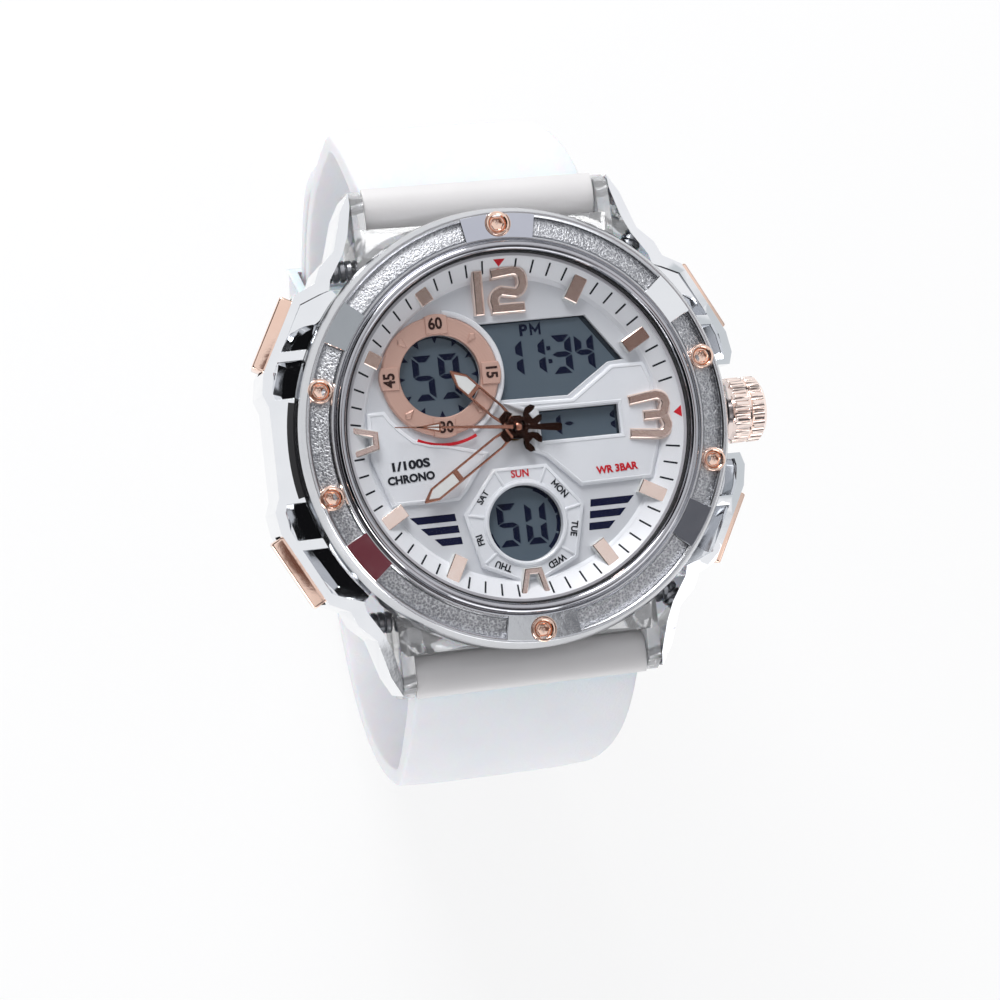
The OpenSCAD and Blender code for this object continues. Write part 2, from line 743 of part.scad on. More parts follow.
module hour_markers() {
    w = 0.95;
    color([0.84, 0.62, 0.55])
    translate([0, 0, z_dial]) {
        for (a = [30, 60, 120, 150, 210, 240, 300, 330])
            rotate([0, 0, -a]) translate([-marker_w / 2, marker_mid_r - marker_len / 2, 0])
                cube([marker_w, marker_len, marker_h]);
        for (a = [180, 270])
            rotate([0, 0, -a]) linear_extrude(numeral_h + 0.45)
                difference() {
                    polygon([[-0.95, 14.4], [0.95, 14.4], [1.75, 17.6], [-1.75, 17.6]]);
                    polygon([[-0.35, 15.4], [0.35, 15.4], [1.05, 17.7], [-1.05, 17.7]]);
                }
        linear_extrude(numeral_h) {
            translate([-2.85, 11.8]) square([w, 4.5]);
            stroke([[-0.7, 15.85], [2.1, 15.85], [2.1, 14.2], [-0.55, 12.9], [-0.55, 12.2], [2.3, 12.2]], w);
            stroke([[12.3, 1.6], [15.3, 1.6], [15.8, 0.9], [15.2, 0], [14, 0]], w);
            stroke([[15.2, 0], [15.8, -0.9], [15.3, -1.7], [12.1, -1.7]], w);
        }
    }
}

module lcd_panel() {
    color([0.42, 0.5, 0.55])
    difference() {
        translate([0, 0, z_lcd - lcd_t]) cylinder(r = 16.4, h = lcd_t);
        translate([0, 0, z_lcd - 2]) cylinder(r = 1.9, h = 3, $fn = small_fn);
        for (sy = [-1, 1]) translate([-20, sy * 17.6 - 2.5, z_lcd - 2]) cube([40, 5, 3]);
    }
}

module light_guide() {
    color([0.9, 0.92, 0.85])
    difference() {
        translate([0, 0, z_lcd - lcd_t - 0.25]) cylinder(r = 14.6, h = 0.2);
        translate([0, 0, z_lcd - 2]) cylinder(r = minute_post + 1, h = 3, $fn = small_fn);
        for (sy = [-1, 1])
            translate([-20, sy * strip_y - strip_w / 2 - 0.4, z_lcd - 2]) cube([40, strip_w + 0.8, 3]);
    }
}

// Levels and sizes inside the module: the board hangs under the train's floor and over the battery
board_z = control_z - 1.3;
board_t = 0.6;
board_r = 15.5;
board_room = 0.8;
train_floor = z_train - 1.6;
train_room_r = 11.6;
plate_r = 12;
plate_t = 0.4;
strip_y = 14;
strip_w = 1.4;
strip_len = 14;
bridge_t = 0.35;
pillar_at = 5.9;
third_arbor_r = 0.2;
minute_post_r = 0.22;
coil_x = -9.6;
coil_r = 0.95;
core_r = 0.36;
cell_r = 10;
cell_t = 1.6;
screw_head_r = 1.05;
screw_head_h = 0.55;
screw_seat_z = 0.95;

module zebra_strips() {
    from = board_z + board_t;
    color([0.85, 0.55, 0.65])
    for (sy = [-1, 1])
        translate([-strip_len / 2, sy * strip_y - strip_w / 2, from + fit])
            cube([strip_len, strip_w, z_lcd - lcd_t - from - 2 * fit]);
}

module module_housing() {
    low = z_case + 0.35;
    top = z_lcd - lcd_t - 0.3;
    clip_room = 1.6;
    color([0.13, 0.13, 0.15])
    difference() {
        translate([0, 0, low]) cylinder(r = module_r, h = top - low);
        // Room for the train and its plate above, the board and the battery below
        translate([0, 0, train_floor]) cylinder(r = train_room_r, h = 9);
        translate([0, 0, z_plate - fit]) cylinder(r = plate_r + fit, h = 9);
        translate([0, 0, z_case]) cylinder(r = board_r + 0.1, h = board_z + board_t + 0.1 - z_case);
        translate([0, 0, z_case]) cylinder(r = cell_r + 0.2, h = board_z + board_t + board_room - z_case);
        for (sy = [-1, 1])
            translate([-strip_len / 2 - 0.1, sy * strip_y - strip_w / 2 - 0.1, z_case])
                cube([strip_len + 0.2, strip_w + 0.2, 9]);
        for (a = pusher_angles)
            at_control(a) translate([-clip_room, -clip_room, board_r - 0.7])
                cube([2 * clip_room, 2 * clip_room, 4]);
        at_control(0) translate([0, 0, 9]) cylinder(r = 1.35, h = 9, $fn = small_fn);
        translate([9, -1.9, control_z - 1.4]) cube([4.6, 3.8, 5]);
    }
}

module main_plate() {
    color([0.75, 0.65, 0.4])
    difference() {
        translate([0, 0, z_plate]) cylinder(r = plate_r, h = plate_t);
        translate([0, 0, z_plate - 1]) cylinder(r = cannon_pipe_r + 0.12, h = 3, $fn = small_fn);
        rotate([0, 0, -third_post_angle]) translate([0, third_post, z_plate - 1])
            cylinder(r = third_arbor_r + run, h = 3, $fn = small_fn);
        translate([9, -2.2, z_plate - 1]) cube([4, 4.4, 3]);
    }
    // Post of the minute wheel
    color([0.7, 0.7, 0.72])
    rotate([0, 0, -minute_post_angle]) translate([0, minute_post, z_plate + plate_t - over])
        cylinder(r = minute_post_r, h = z_works + wheel_t - z_plate - plate_t, $fn = small_fn);
}

module train_bridge() {
    low = z_train - 1.5;
    arm = 2.2;
    color([0.78, 0.74, 0.62]) {
        difference() {
            union() {
                translate([0, 0, low]) cylinder(r = 1.6, h = bridge_t, $fn = 48);
                rotate([0, 0, -third_post_angle]) translate([-arm / 2, 0, low])
                    cube([arm, third_post + 0.8, bridge_t]);
                for (a = [180, 90])
                    rotate([0, 0, a - third_post_angle]) translate([-arm / 2, 0, low])
                        cube([arm, pillar_at + 0.7, bridge_t]);
            }
            translate([0, 0, low - 1]) cylinder(r = arbor_r + run, h = 3, $fn = small_fn);
            rotate([0, 0, -third_post_angle]) translate([0, third_post, low - 1])
                cylinder(r = third_arbor_r + run, h = 3, $fn = small_fn);
        }
        for (a = [180, 90])
            rotate([0, 0, a - third_post_angle]) translate([0, pillar_at, low + bridge_t - over])
                cylinder(r = 0.7, h = z_plate - low - bridge_t + over - fit, $fn = small_fn);
    }
}

module motor_coil() {
    color([0.72, 0.4, 0.2])
    translate([coil_x, -3.5, z_train - 0.2]) rotate([-90, 0, 0]) tube(coil_r, core_r + run, 7, small_fn);
}

module motor_stator() {
    leg = 1.2;
    foot_h = 0.35;
    color([0.55, 0.56, 0.6]) {
        translate([coil_x, -5, z_train - 0.2]) rotate([-90, 0, 0])
            cylinder(r = core_r, h = 10, $fn = small_fn);
        for (s = [-1, 1])
            translate([coil_x - leg / 2, s * 4.5 - leg / 2, train_floor])
                cube([leg, leg, z_train - 0.4 - train_floor]);
        translate([coil_x - leg / 2, -5.1, train_floor]) cube([1.6, 10.2, foot_h]);
    }
}

module circuit_board() {
    top = board_z + board_t;
    can_r = 0.35;
    color([0.1, 0.35, 0.2])
    difference() {
        translate([0, 0, board_z]) cylinder(r = board_r, h = board_t);
        translate([9.2, -1.8, board_z - 1]) cube([8, 3.6, 3]);
        for (a = pusher_angles) at_control(a) translate([-3, -1.8, board_r - 0.3]) cube([6, 3.6, 4]);
    }
    // Driver chip, crystal can and the pushers' contact blades
    color([0.08, 0.08, 0.09]) translate([-2.2, 5, top - fit]) cube([4.4, 4.4, 0.4]);
    color([0.7, 0.7, 0.72]) translate([3.6, 5, top + can_r - fit]) rotate([0, 90, 30])
        cylinder(r = can_r, h = 3, $fn = small_fn);
    color([0.8, 0.7, 0.4])
    for (a = pusher_angles)
        rotate([0, 0, a]) translate([board_r - 0.6, -0.8, top - fit]) cube([0.15, 1.6, 1.2]);
}

module battery() {
    cap_h = 0.25;
    color([0.75, 0.76, 0.78]) {
        translate([0, 0, board_z - cap_h - cell_t - 0.15]) cylinder(r = cell_r, h = cell_t);
        translate([0, 0, board_z - cap_h - 0.15 - over]) cylinder(r = cell_r - 1.6, h = cap_h + over);
    }
}

module battery_clip() {
    strip_t = 0.15;
    half = cell_r + 1.6;
    low = board_z - 0.4 - cell_t - strip_t - fit;
    color([0.7, 0.72, 0.74]) {
        translate([-half, -1.8, low]) cube([2 * half, 3.6, strip_t]);
        for (s = [-1, 1])
            translate([s * (half - 0.2) - 0.2, -1.8, low]) cube([0.4, 3.6, board_z - low]);
    }
}

module case_back() {
    lift = 0.35;
    corner_r = lug_x - case_screw_x;
    color([0.78, 0.79, 0.8])
    difference() {
        union() {
            rotate_extrude()
                polygon([[0, 0], [back_r - 2.2, 0], [back_r - 1.4, lift], [back_r, lift], [back_r, z_case],
                    [0, z_case]]);
            at_case_screws() translate([0, 0, lift]) cylinder(r = corner_r, h = z_case - lift, $fn = 48);
            translate([-case_screw_x, -case_screw_y, lift])
                cube([2 * case_screw_x, 2 * case_screw_y, z_case - lift]);
        }
        // Inner recess under the battery, four screw seats and the opening tool's notches
        translate([0, 0, z_case - 0.3]) cylinder(r = board_r, h = 1);
        at_case_screws() {
            translate([0, 0, -1]) cylinder(r = case_screw_shank_r + run, h = 4, $fn = small_fn);
            translate([0, 0, -1]) cylinder(r = screw_head_r + 0.1, h = 1 + screw_seat_z, $fn = small_fn);
        }
        for (a = [30:60:330])
            rotate([0, 0, a]) translate([13.4, -1.1, -over]) cube([1.8, 2.2, 0.35]);
    }
}

module case_back_gasket() {
    color([0.12, 0.12, 0.13]) translate([0, 0, z_case]) tube(19.1, 18.3, gasket_seat - fit);
}

module case_back_screws() {
    color([0.75, 0.76, 0.78])
    at_case_screws() {
        difference() {
            translate([0, 0, screw_seat_z - screw_head_h])
                cylinder(r = screw_head_r, h = screw_head_h, $fn = small_fn);
            translate([-1.5, -0.15, screw_seat_z - screw_head_h - 0.2]) cube([3, 0.3, 0.45]);
        }
        translate([0, 0, screw_seat_z - over])
            cylinder(r = case_screw_shank_r, h = insert_z + insert_h - 1 - screw_seat_z, $fn = small_fn);
    }
}

module pusher_tubes() {
    color([0.75, 0.76, 0.78])
    for (a = pusher_angles)
        at_control(a) translate([0, 0, tube_in]) tube(tube_r, tube_bore_r, tube_out - tube_in, small_fn);
}

module pusher_springs() {
    color([0.6, 0.62, 0.65])
    for (a = pusher_angles)
        at_control(a) translate([0, 0, tube_out + fit])
            tube(1.25, 0.8, pusher_out - pusher_t - tube_out - 2 * fit, small_fn);
}

module crown_tube() {
    color([0.75, 0.76, 0.78])
    at_control(0) translate([0, 0, tube_in])
        tube(crown_tube_r, crown_stem_r + run, crown_tube_out - tube_in, small_fn);
}

module strap_covers() {
    reach = 3 * cover_r;
    color([0.72, 0.71, 0.7])
    for (s = [1, -1])
        scale([1, s, 1]) translate([-lug_gap + 0.08, bar_y, bar_z]) rotate([90, 0, 90])
            linear_extrude(2 * lug_gap - 0.16)
                intersection() {
                    difference() {
                        circle(r = cover_r);
                        circle(r = cover_r - cover_t);
                    }
                    polygon([[0, 0], [reach * cos(cover_from), reach * sin(cover_from)], [0, reach],
                        [-reach, reach], [reach * cos(cover_to), reach * sin(cover_to)]]);
                }
}

module spring_bars() {
    color([0.7, 0.71, 0.73])
    for (sy = [-1, 1]) {
        on_x(-lug_gap + 0.1, sy * bar_y, bar_z) cylinder(r = bar_r, h = 2 * lug_gap - 0.2, $fn = small_fn);
        on_x(-lug_x + 0.15, sy * bar_y, bar_z) cylinder(r = bar_tip_r, h = 2 * lug_x - 0.3, $fn = small_fn);
    }
}

// Outline of a hand that points along +Y: a narrow waist, a split blade and a forked tail
module blade(length, w, tail) {
    tip = w * 0.9;
    difference() {
        union() {
            polygon([[-0.35, 0.6], [-w / 2, 2.6], [-w / 2, length - tip], [-0.12, length], [0.12, length],
                [w / 2, length - tip], [w / 2, 2.6], [0.35, 0.6]]);
            circle(r = 1.25, $fn = small_fn);
            polygon([[-0.65, 0], [-0.65, -tail + 0.9], [-0.95, -tail + 0.4], [-0.75, -tail], [0.75, -tail],
                [0.95, -tail + 0.4], [0.65, -tail + 0.9], [0.65, 0]]);
        }
        polygon([[-w / 2 + 0.22, 3], [-w / 2 + 0.22, length * 0.62], [w / 2 - 0.22, length * 0.62],
            [w / 2 - 0.22, 3]]);
        polygon([[-w / 2 + 0.22, length * 0.67], [-w / 2 + 0.22, length - tip - 0.1],
            [0, length - 0.55], [w / 2 - 0.22, length - tip - 0.1], [w / 2 - 0.22, length * 0.67]]);
        polygon([[-0.3, -tail - 1], [-0.3, -tail + 0.7], [0.3, -tail + 0.7], [0.3, -tail - 1]]);
    }
}

module hour_hand() {
    color([0.86, 0.62, 0.53])
    rotate([0, 0, -hour_angle]) translate([0, 0, z_hour])
        linear_extrude(hand_t)
            difference() {
                blade(hour_len, 1.7, 2.9);
                circle(r = hour_pipe_r + fit, $fn = small_fn);
            }
}

module hour_wheel() {
    color([0.8, 0.7, 0.4]) {
        translate([0, 0, z_works]) facing(minute_post_angle, hour_teeth)
            spoked_gear(hour_teeth, hour_module, wheel_t, hour_bore_r);
        translate([0, 0, z_works + wheel_t - over])
            tube(hour_pipe_r, hour_bore_r, z_hour + hand_t - z_works - wheel_t, small_fn);
    }
}

module minute_hand() {
    color([0.86, 0.62, 0.53])
    rotate([0, 0, -minute_angle]) translate([0, 0, z_minute])
        linear_extrude(hand_t)
            difference() {
                blade(minute_len, 1.5, 2.7);
                circle(r = cannon_pipe_r + fit, $fn = small_fn);
            }
}

module cannon_pinion() {
    low = z_train;
    color([0.78, 0.79, 0.8]) {
        translate([0, 0, low + 0.4]) facing(third_post_angle, centre_teeth)
            spoked_gear(centre_teeth, centre_module, 0.25, cannon_bore_r);
        translate([0, 0, low + 0.65 - over])
            tube(cannon_pipe_r, cannon_bore_r, z_minute + hand_t - low - 0.65 + over, small_fn);
        translate([0, 0, z_works - 0.5]) facing(minute_post_angle, cannon_teeth)
            gear(cannon_teeth, minute_module, 0.4, cannon_bore_r);
    }
}

module seconds_hand() {
    color([0.9, 0.62, 0.5])
    rotate([0, 0, -seconds_angle]) translate([0, 0, z_seconds])
        linear_extrude(hand_t * 0.8) {
            difference() {
                union() {
                    circle(r = 0.9, $fn = small_fn);
                    polygon([[-0.3, -4.6], [0.3, -4.6], [0.42, -4.2], [0.2, 0], [0.11, 8],
                        [0.05, seconds_len], [-0.05, seconds_len], [-0.11, 8], [-0.2, 0], [-0.42, -4.2]]);
                    polygon([[-0.5, 8.1], [0.5, 8.1], [0, 10.6]]);
                }
                circle(r = arbor_r + fit, $fn = small_fn);
            }
        }
}

module seconds_wheel() {
    low = z_train - 1.5;
    color([0.78, 0.79, 0.8]) {
        translate([0, 0, low]) cylinder(r = arbor_r, h = z_seconds + hand_t - low, $fn = small_fn);
        translate([0, 0, z_train - 0.45]) facing(third_post_angle, seconds_pinion_teeth)
            gear(seconds_pinion_teeth, seconds_module, 0.55, arbor_r - 2 * over);
        translate([0, 0, z_train - 0.95]) spoked_gear(60, 0.09, 0.25, arbor_r - 2 * over);
    }
}

module minute_wheel() {
    color([0.8, 0.7, 0.4])
    rotate([0, 0, -minute_post_angle]) translate([0, minute_post, 0]) {
        translate([0, 0, z_works - 0.45])
            gear(minute_teeth, minute_module, wheel_t, minute_post_r + run);
        translate([0, 0, z_works - 0.15 - over])
            gear(minute_pinion_teeth, hour_module, 0.45, minute_post_r + run);
    }
}

module third_wheel() {
    low = z_train - 1.45;
    color([0.8, 0.7, 0.4])
    rotate([0, 0, -third_post_angle]) translate([0, third_post, 0]) {
        translate([0, 0, low]) cylinder(r = third_arbor_r, h = z_plate + 0.35 - low, $fn = small_fn);
        translate([0, 0, z_train - 0.3])
            spoked_gear(third_teeth, seconds_module, 0.25, third_arbor_r - 2 * over);
        translate([0, 0, z_train - 0.05 - over])
            gear(third_pinion_teeth, centre_module, 0.8, third_arbor_r - 2 * over);
    }
}

groove_x = 11.4;

module setting_lever() {
    color([0.68, 0.7, 0.73])
    difference() {
        translate([groove_x + fit, -1.7, control_z + 0.05]) cube([0.4, 3.4, 2]);
        at_control(0) translate([0, 0, groove_x - 1]) cylinder(r = 0.4, h = 3, $fn = small_fn);
    }
}

module crown_stem() {
    groove_w = 0.4 + 2 * fit;
    color([0.72, 0.73, 0.75])
    difference() {
        at_control(0) translate([0, 0, groove_x - 1.2])
            cylinder(r = crown_stem_r, h = crown_in + crown_len - 1.2 - groove_x + 1.2, $fn = small_fn);
        at_control(0) translate([0, 0, groove_x]) tube(1, 0.36, groove_w, small_fn);
    }
}

module crown() {
    well = 2.4;
    flute_r = 0.32;
    color([0.86, 0.62, 0.53])
    difference() {
        at_control(0) translate([0, 0, crown_in])
            rotate_extrude()
                polygon([[crown_stem_r + fit, well], [skirt_r, well], [skirt_r, 0], [crown_r - 0.5, 0],
                    [crown_r, 0.35], [crown_r, 1.7], [crown_r - 0.3, 1.85], [crown_r - 0.3, 2.05],
                    [crown_r, 2.2],
                    [crown_r, crown_len - 0.5], [crown_r - 0.6, crown_len], [0, crown_len],
                    [0, crown_len - 1.15], [crown_stem_r + fit, crown_len - 1.15]]);
        for (i = [0:crown_flutes - 1])
            at_control(0) rotate([0, 0, i * 360 / crown_flutes])
                translate([crown_r + 0.12, 0, crown_in - 1])
                    cylinder(r = flute_r, h = crown_len + 0.6, $fn = 16);
    }
}

module crown_gasket() {
    color([0.12, 0.12, 0.13])
    at_control(0) translate([0, 0, crown_in + 0.3]) tube(skirt_r - fit, crown_tube_r + run, 0.7, small_fn);
}

module pusher(angle) {
    low = pusher_out - pusher_t;
    round_r = 0.7;
    clip_from = case_bore_r - 0.4;
    color([0.86, 0.62, 0.53])
    at_control(angle) {
        translate([-pusher_h / 2, -pusher_len / 2 + round_r, low])
            cube([pusher_h, pusher_len - 2 * round_r, pusher_t - round_r]);
        translate([-pusher_h / 2 + round_r, -pusher_len / 2, low])
            cube([pusher_h - 2 * round_r, pusher_len, pusher_t - round_r]);
        translate([-pusher_h / 2 + round_r, -pusher_len / 2 + round_r, low])
            cube([pusher_h - 2 * round_r, pusher_len - 2 * round_r, pusher_t]);
        for (sx = [-1, 1], sy = [-1, 1])
            translate([sx * (pusher_h / 2 - round_r), sy * (pusher_len / 2 - round_r), low])
                cylinder(r = round_r, h = pusher_t - round_r, $fn = small_fn);
        for (sx = [-1, 1])
            translate([sx * (pusher_h / 2 - round_r), -pusher_len / 2 + round_r, pusher_out - round_r])
                rotate([-90, 0, 0]) cylinder(r = round_r, h = pusher_len - 2 * round_r, $fn = small_fn);
        for (sy = [-1, 1])
            translate([-pusher_h / 2 + round_r, sy * (pusher_len / 2 - round_r), pusher_out - round_r])
                rotate([0, 90, 0]) cylinder(r = round_r, h = pusher_h - 2 * round_r, $fn = small_fn);
        for (sx = [-1, 1], sy = [-1, 1])
            translate([sx * (pusher_h / 2 - round_r), sy * (pusher_len / 2 - round_r), pusher_out - round_r])
                sphere(r = round_r, $fn = small_fn);
        translate([0, 0, clip_from - 0.35])
            cylinder(r = stem_r, h = low - clip_from + 0.35 + over, $fn = small_fn);
    }
    color([0.7, 0.7, 0.72])
    at_control(angle) translate([0, 0, clip_from]) tube(1.05, stem_r - over, 0.3, small_fn);
}

module pusher_2() { pusher(pusher_angle); }
module pusher_4() { pusher(-pusher_angle); }
module pusher_8() { pusher(180 + pusher_angle); }
module pusher_10() { pusher(180 - pusher_angle); }

// The strap's outline seen along Y: full width at the lugs, then drawn in towards the buckle
module strap_plan() {
    half = strap_w / 2;
    half_end = strap_w_end / 2;
    side = [for (i = [0:8]) let(t = i / 8) [half + (half_end - half) * ease(t), -2 - 28 * t]];
    mirrored = [for (i = [8:-1:0]) [-side[i].x, side[i].y]];
    translate([0, full_len, 0]) rotate([90, 0, 0]) linear_extrude(2 * full_len)
        polygon(concat([[-half, 12], [half, 12]], side, [[half_end, bottom_z - 9], [-half_end, bottom_z - 9]],
            mirrored));
}

// One half of the strap from length l0 to l1, thicker towards its own spring bar
module strap_layer(l0, l1, steps, hinge_l, is_long) {
    span = l1 - l0;
    inner = [for (i = [0:steps]) let(l = l0 + span * i / steps)
        ribbon_point(l, (is_long ? long_depth(l) : 0) - lug_extra(l, hinge_l))];
    outer = [for (i = [steps:-1:0]) let(l = l0 + span * i / steps)
        ribbon_point(l, (is_long ? long_depth(l) : 0) + strap_t + lug_extra(l, hinge_l))];
    intersection() {
        rotate([90, 0, 90]) translate([0, 0, -strap_w / 2]) linear_extrude(strap_w)
            polygon(concat(inner, outer));
        strap_plan();
    }
}

module strap_eye(s) {
    on_x(-strap_w / 2, s * bar_y, bar_z) cylinder(r = strap_eye_r, h = strap_w);
}

module strap_bar_bore(s) {
    on_x(-strap_w, s * bar_y, bar_z) cylinder(r = bar_r + run, h = 2 * strap_w, $fn = small_fn);
}

// Places its children on the loop at length l: X across, Y along the loop, Z outwards
module on_loop(l, depth) {
    p = loop_point(l);
    d = depth - strap_t / 2;
    translate([0, p[0] + d * p[2], p[1] + d * p[3]]) rotate([atan2(p[3], p[2]) - 90, 0, 0]) children();
}

module strap_12() {
    clear = 0.3;
    outer_depth = 2 * (strap_t + layer_gap);
    room_z = bottom_z + strap_t / 2 - outer_depth;
    slot_w = prong_w + 0.7;
    color([0.93, 0.94, 0.96])
    difference() {
        union() {
            strap_layer(half_len + buckle_y, full_len, 44, full_len, false);
            strap_eye(1);
            on_x(-strap_w_end / 2, buckle_at.x, buckle_at.y)
                cylinder(r = buckle_eye_r, h = strap_w_end, $fn = small_fn);
            // Fixed keeper: a moulded loop round both layers
            translate([-strap_w_end / 2 - keeper_t, keeper_y, room_z - keeper_band])
                cube([strap_w_end + 2 * keeper_t, keeper_w, outer_depth + keeper_band]);
        }
        strap_bar_bore(1);
        translate([-strap_w_end / 2 - clear, keeper_y - 1, room_z])
            cube([strap_w_end + 2 * clear, keeper_w + 2, strap_t + 2 * layer_gap]);
        // Bore for the buckle bar, with a slot round the prong's root
        on_x(-strap_w, buckle_at.x, buckle_at.y)
            cylinder(r = buckle_bar_r + run, h = 2 * strap_w, $fn = small_fn);
        translate([-slot_w / 2, buckle_at.x - 4, buckle_at.y - 3])
            cube([slot_w, 4 + prong_root_r + clear, 6]);
    }
}

module strap_6() {
    tip_l = tail_end - strap_w_end / 2;
    color([0.93, 0.94, 0.96])
    difference() {
        union() {
            strap_layer(0, tail_end, 90, 0, true);
            strap_eye(-1);
        }
        strap_bar_bore(-1);
        for (i = [-3:5])
            let(l = prong_hole_l + i * hole_pitch)
            on_loop(l, long_depth(l) + strap_t / 2) translate([0, 0, -3])
                linear_extrude(6) {
                    square([2 * hole_r, 2 * hole_r], center = true);
                    for (s = [-1, 1]) translate([0, s * hole_r]) circle(r = hole_r, $fn = small_fn);
                }
        // Round tip
        on_loop(tip_l, strap_t * 1.5 + layer_gap) translate([0, 0, -6]) linear_extrude(12)
            difference() {
                translate([-strap_w_end, -strap_w_end]) square([2 * strap_w_end, strap_w_end]);
                circle(r = strap_w_end / 2);
            }
    }
}

module buckle_frame() {
    half_in = strap_w_end / 2 + 0.4;
    arm = 1.5;
    color([0.78, 0.79, 0.81]) {
        for (s = [-1, 1])
            translate([s * (half_in + arm / 2) - arm / 2, 0, 0]) rotate([90, 0, 90]) linear_extrude(arm)
                difference() {
                    union() {
                        polygon(band([buckle_at, [-3.5, bottom_z - 1.2], rail_at], 1.5 * rail_r));
                        translate(buckle_at) circle(r = buckle_tip_r + 0.6, $fn = small_fn);
                        translate(rail_at) circle(r = rail_r + 0.1, $fn = small_fn);
                    }
                    translate(buckle_at) circle(r = buckle_tip_r + fit, $fn = small_fn);
                }
        difference() {
            on_x(-half_in - 0.3, rail_at.x, rail_at.y)
                cylinder(r = rail_r, h = 2 * half_in + 0.6, $fn = small_fn);
            translate([-prong_w / 2 - 0.15, rail_at.x - 2, rail_at.y - 1.2]) cube([prong_w + 0.3, 4, 0.8]);
        }
    }
}

module buckle_prong() {
    knee = buckle_at + [-3, -0.6];
    past_strap = knee + [-3.3, -2.3];
    tip = rail_at + [-1.4, -1.55];
    color([0.8, 0.81, 0.83])
    translate([-prong_w / 2, 0, 0]) rotate([90, 0, 90]) linear_extrude(prong_w)
        difference() {
            union() {
                polygon(band([buckle_at, knee, past_strap, tip], prong_t));
                translate(buckle_at) circle(r = prong_root_r, $fn = small_fn);
            }
            translate(buckle_at) circle(r = buckle_bar_r + run, $fn = small_fn);
        }
}

module buckle_bar() {
    half = strap_w_end / 2 + 0.4;
    color([0.7, 0.71, 0.73]) {
        on_x(-half + 0.1, buckle_at.x, buckle_at.y)
            cylinder(r = buckle_bar_r, h = 2 * half - 0.2, $fn = small_fn);
        on_x(-half - 1.2, buckle_at.x, buckle_at.y)
            cylinder(r = buckle_tip_r, h = 2 * half + 2.4, $fn = small_fn);
    }
}

// The free keeper rides on the lower arc of the loop, round both layers of the strap
module keeper() {
    angle = 30;
    half_w = strap_w_end / 2 + 0.3;
    r_in = lower_r - strap_t / 2 - layer_gap;
    r_out = lower_r + strap_t * 1.5 + 2 * layer_gap;
    color([0.93, 0.94, 0.96])
    translate([0, loop_flat, lower_mid_z]) rotate([angle, 0, 0])
        intersection() {
            difference() {
                on_x(-half_w - keeper_t, 0, 0) cylinder(r = r_out + keeper_t, h = 2 * (half_w + keeper_t));
                on_x(-half_w - 2 * keeper_t, 0, 0)
                    cylinder(r = r_in - keeper_t, h = 2 * (half_w + 2 * keeper_t));
                on_x(-half_w, 0, 0)
                    difference() {
                        cylinder(r = r_out, h = 2 * half_w);
                        translate([0, 0, -1]) cylinder(r = r_in, h = 2 * half_w + 2);
                    }
            }
            translate([-half_w - 2 * keeper_t, -keeper_w / 2, -r_out - 5])
                cube([2 * (half_w + 2 * keeper_t), keeper_w, r_out + 5]);
        }
}

case_middle();
thread_inserts();
guard_left();
guard_right();
bezel();
bezel_inlays();
bezel_screws();
bezel_gasket();
crystal();
crystal_gasket();
crystal_ring();
minute_track();
dial_plate();
dial_relief();
weekday_frame();
seconds_ring();
hour_markers();
lcd_panel();
zebra_strips();
light_guide();
module_housing();
main_plate();
train_bridge();
motor_coil();
motor_stator();
circuit_board();
battery();
battery_clip();
case_back();
case_back_gasket();
case_back_screws();
pusher_tubes();
pusher_springs();
crown_tube();
strap_covers();
spring_bars();
hour_hand();
hour_wheel();
minute_hand();
cannon_pinion();
seconds_hand();
seconds_wheel();
minute_wheel();
third_wheel();
setting_lever();
crown_stem();
crown();
crown_gasket();
pusher_2();
pusher_4();
pusher_8();
pusher_10();
strap_12();
strap_6();
buckle_frame();
buckle_prong();
buckle_bar();
keeper();
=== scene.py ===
"""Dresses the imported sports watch: an analogue and digital watch with a clear case and a resin strap."""

import logging
import math
from collections.abc import Callable, Iterable, Sequence
from dataclasses import dataclass, field
from enum import Enum

import bmesh
import bpy
from mathutils import Euler, Matrix, Vector


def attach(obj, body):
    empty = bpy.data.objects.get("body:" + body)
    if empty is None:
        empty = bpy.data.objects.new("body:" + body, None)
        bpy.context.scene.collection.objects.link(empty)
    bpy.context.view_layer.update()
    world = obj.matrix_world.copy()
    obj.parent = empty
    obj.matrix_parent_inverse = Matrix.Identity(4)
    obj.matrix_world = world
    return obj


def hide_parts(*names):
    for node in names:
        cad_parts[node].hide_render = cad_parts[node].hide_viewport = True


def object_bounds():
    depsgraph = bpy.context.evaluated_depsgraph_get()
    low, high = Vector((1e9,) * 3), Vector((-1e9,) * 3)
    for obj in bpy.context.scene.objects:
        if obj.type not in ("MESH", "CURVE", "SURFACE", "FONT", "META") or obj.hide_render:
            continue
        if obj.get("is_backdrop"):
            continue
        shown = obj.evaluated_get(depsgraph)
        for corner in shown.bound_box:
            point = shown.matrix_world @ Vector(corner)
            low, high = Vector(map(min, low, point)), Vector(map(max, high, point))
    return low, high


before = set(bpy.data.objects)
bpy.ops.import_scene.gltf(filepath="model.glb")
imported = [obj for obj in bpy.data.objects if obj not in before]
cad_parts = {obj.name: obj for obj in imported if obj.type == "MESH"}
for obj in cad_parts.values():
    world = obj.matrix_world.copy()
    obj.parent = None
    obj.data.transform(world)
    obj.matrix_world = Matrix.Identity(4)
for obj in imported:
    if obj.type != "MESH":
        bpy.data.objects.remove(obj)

LOG = logging.getLogger("watch")
MM = 0.001
# Height of a capital as a share of the font's size
CAPITAL = 0.69
Point = tuple[float, float]
Loop = Sequence[Point]
Triple = tuple[float, float, float]
Part = bmesh.types.BMesh
Tree = bpy.types.NodeTree
Socket = bpy.types.NodeSocket
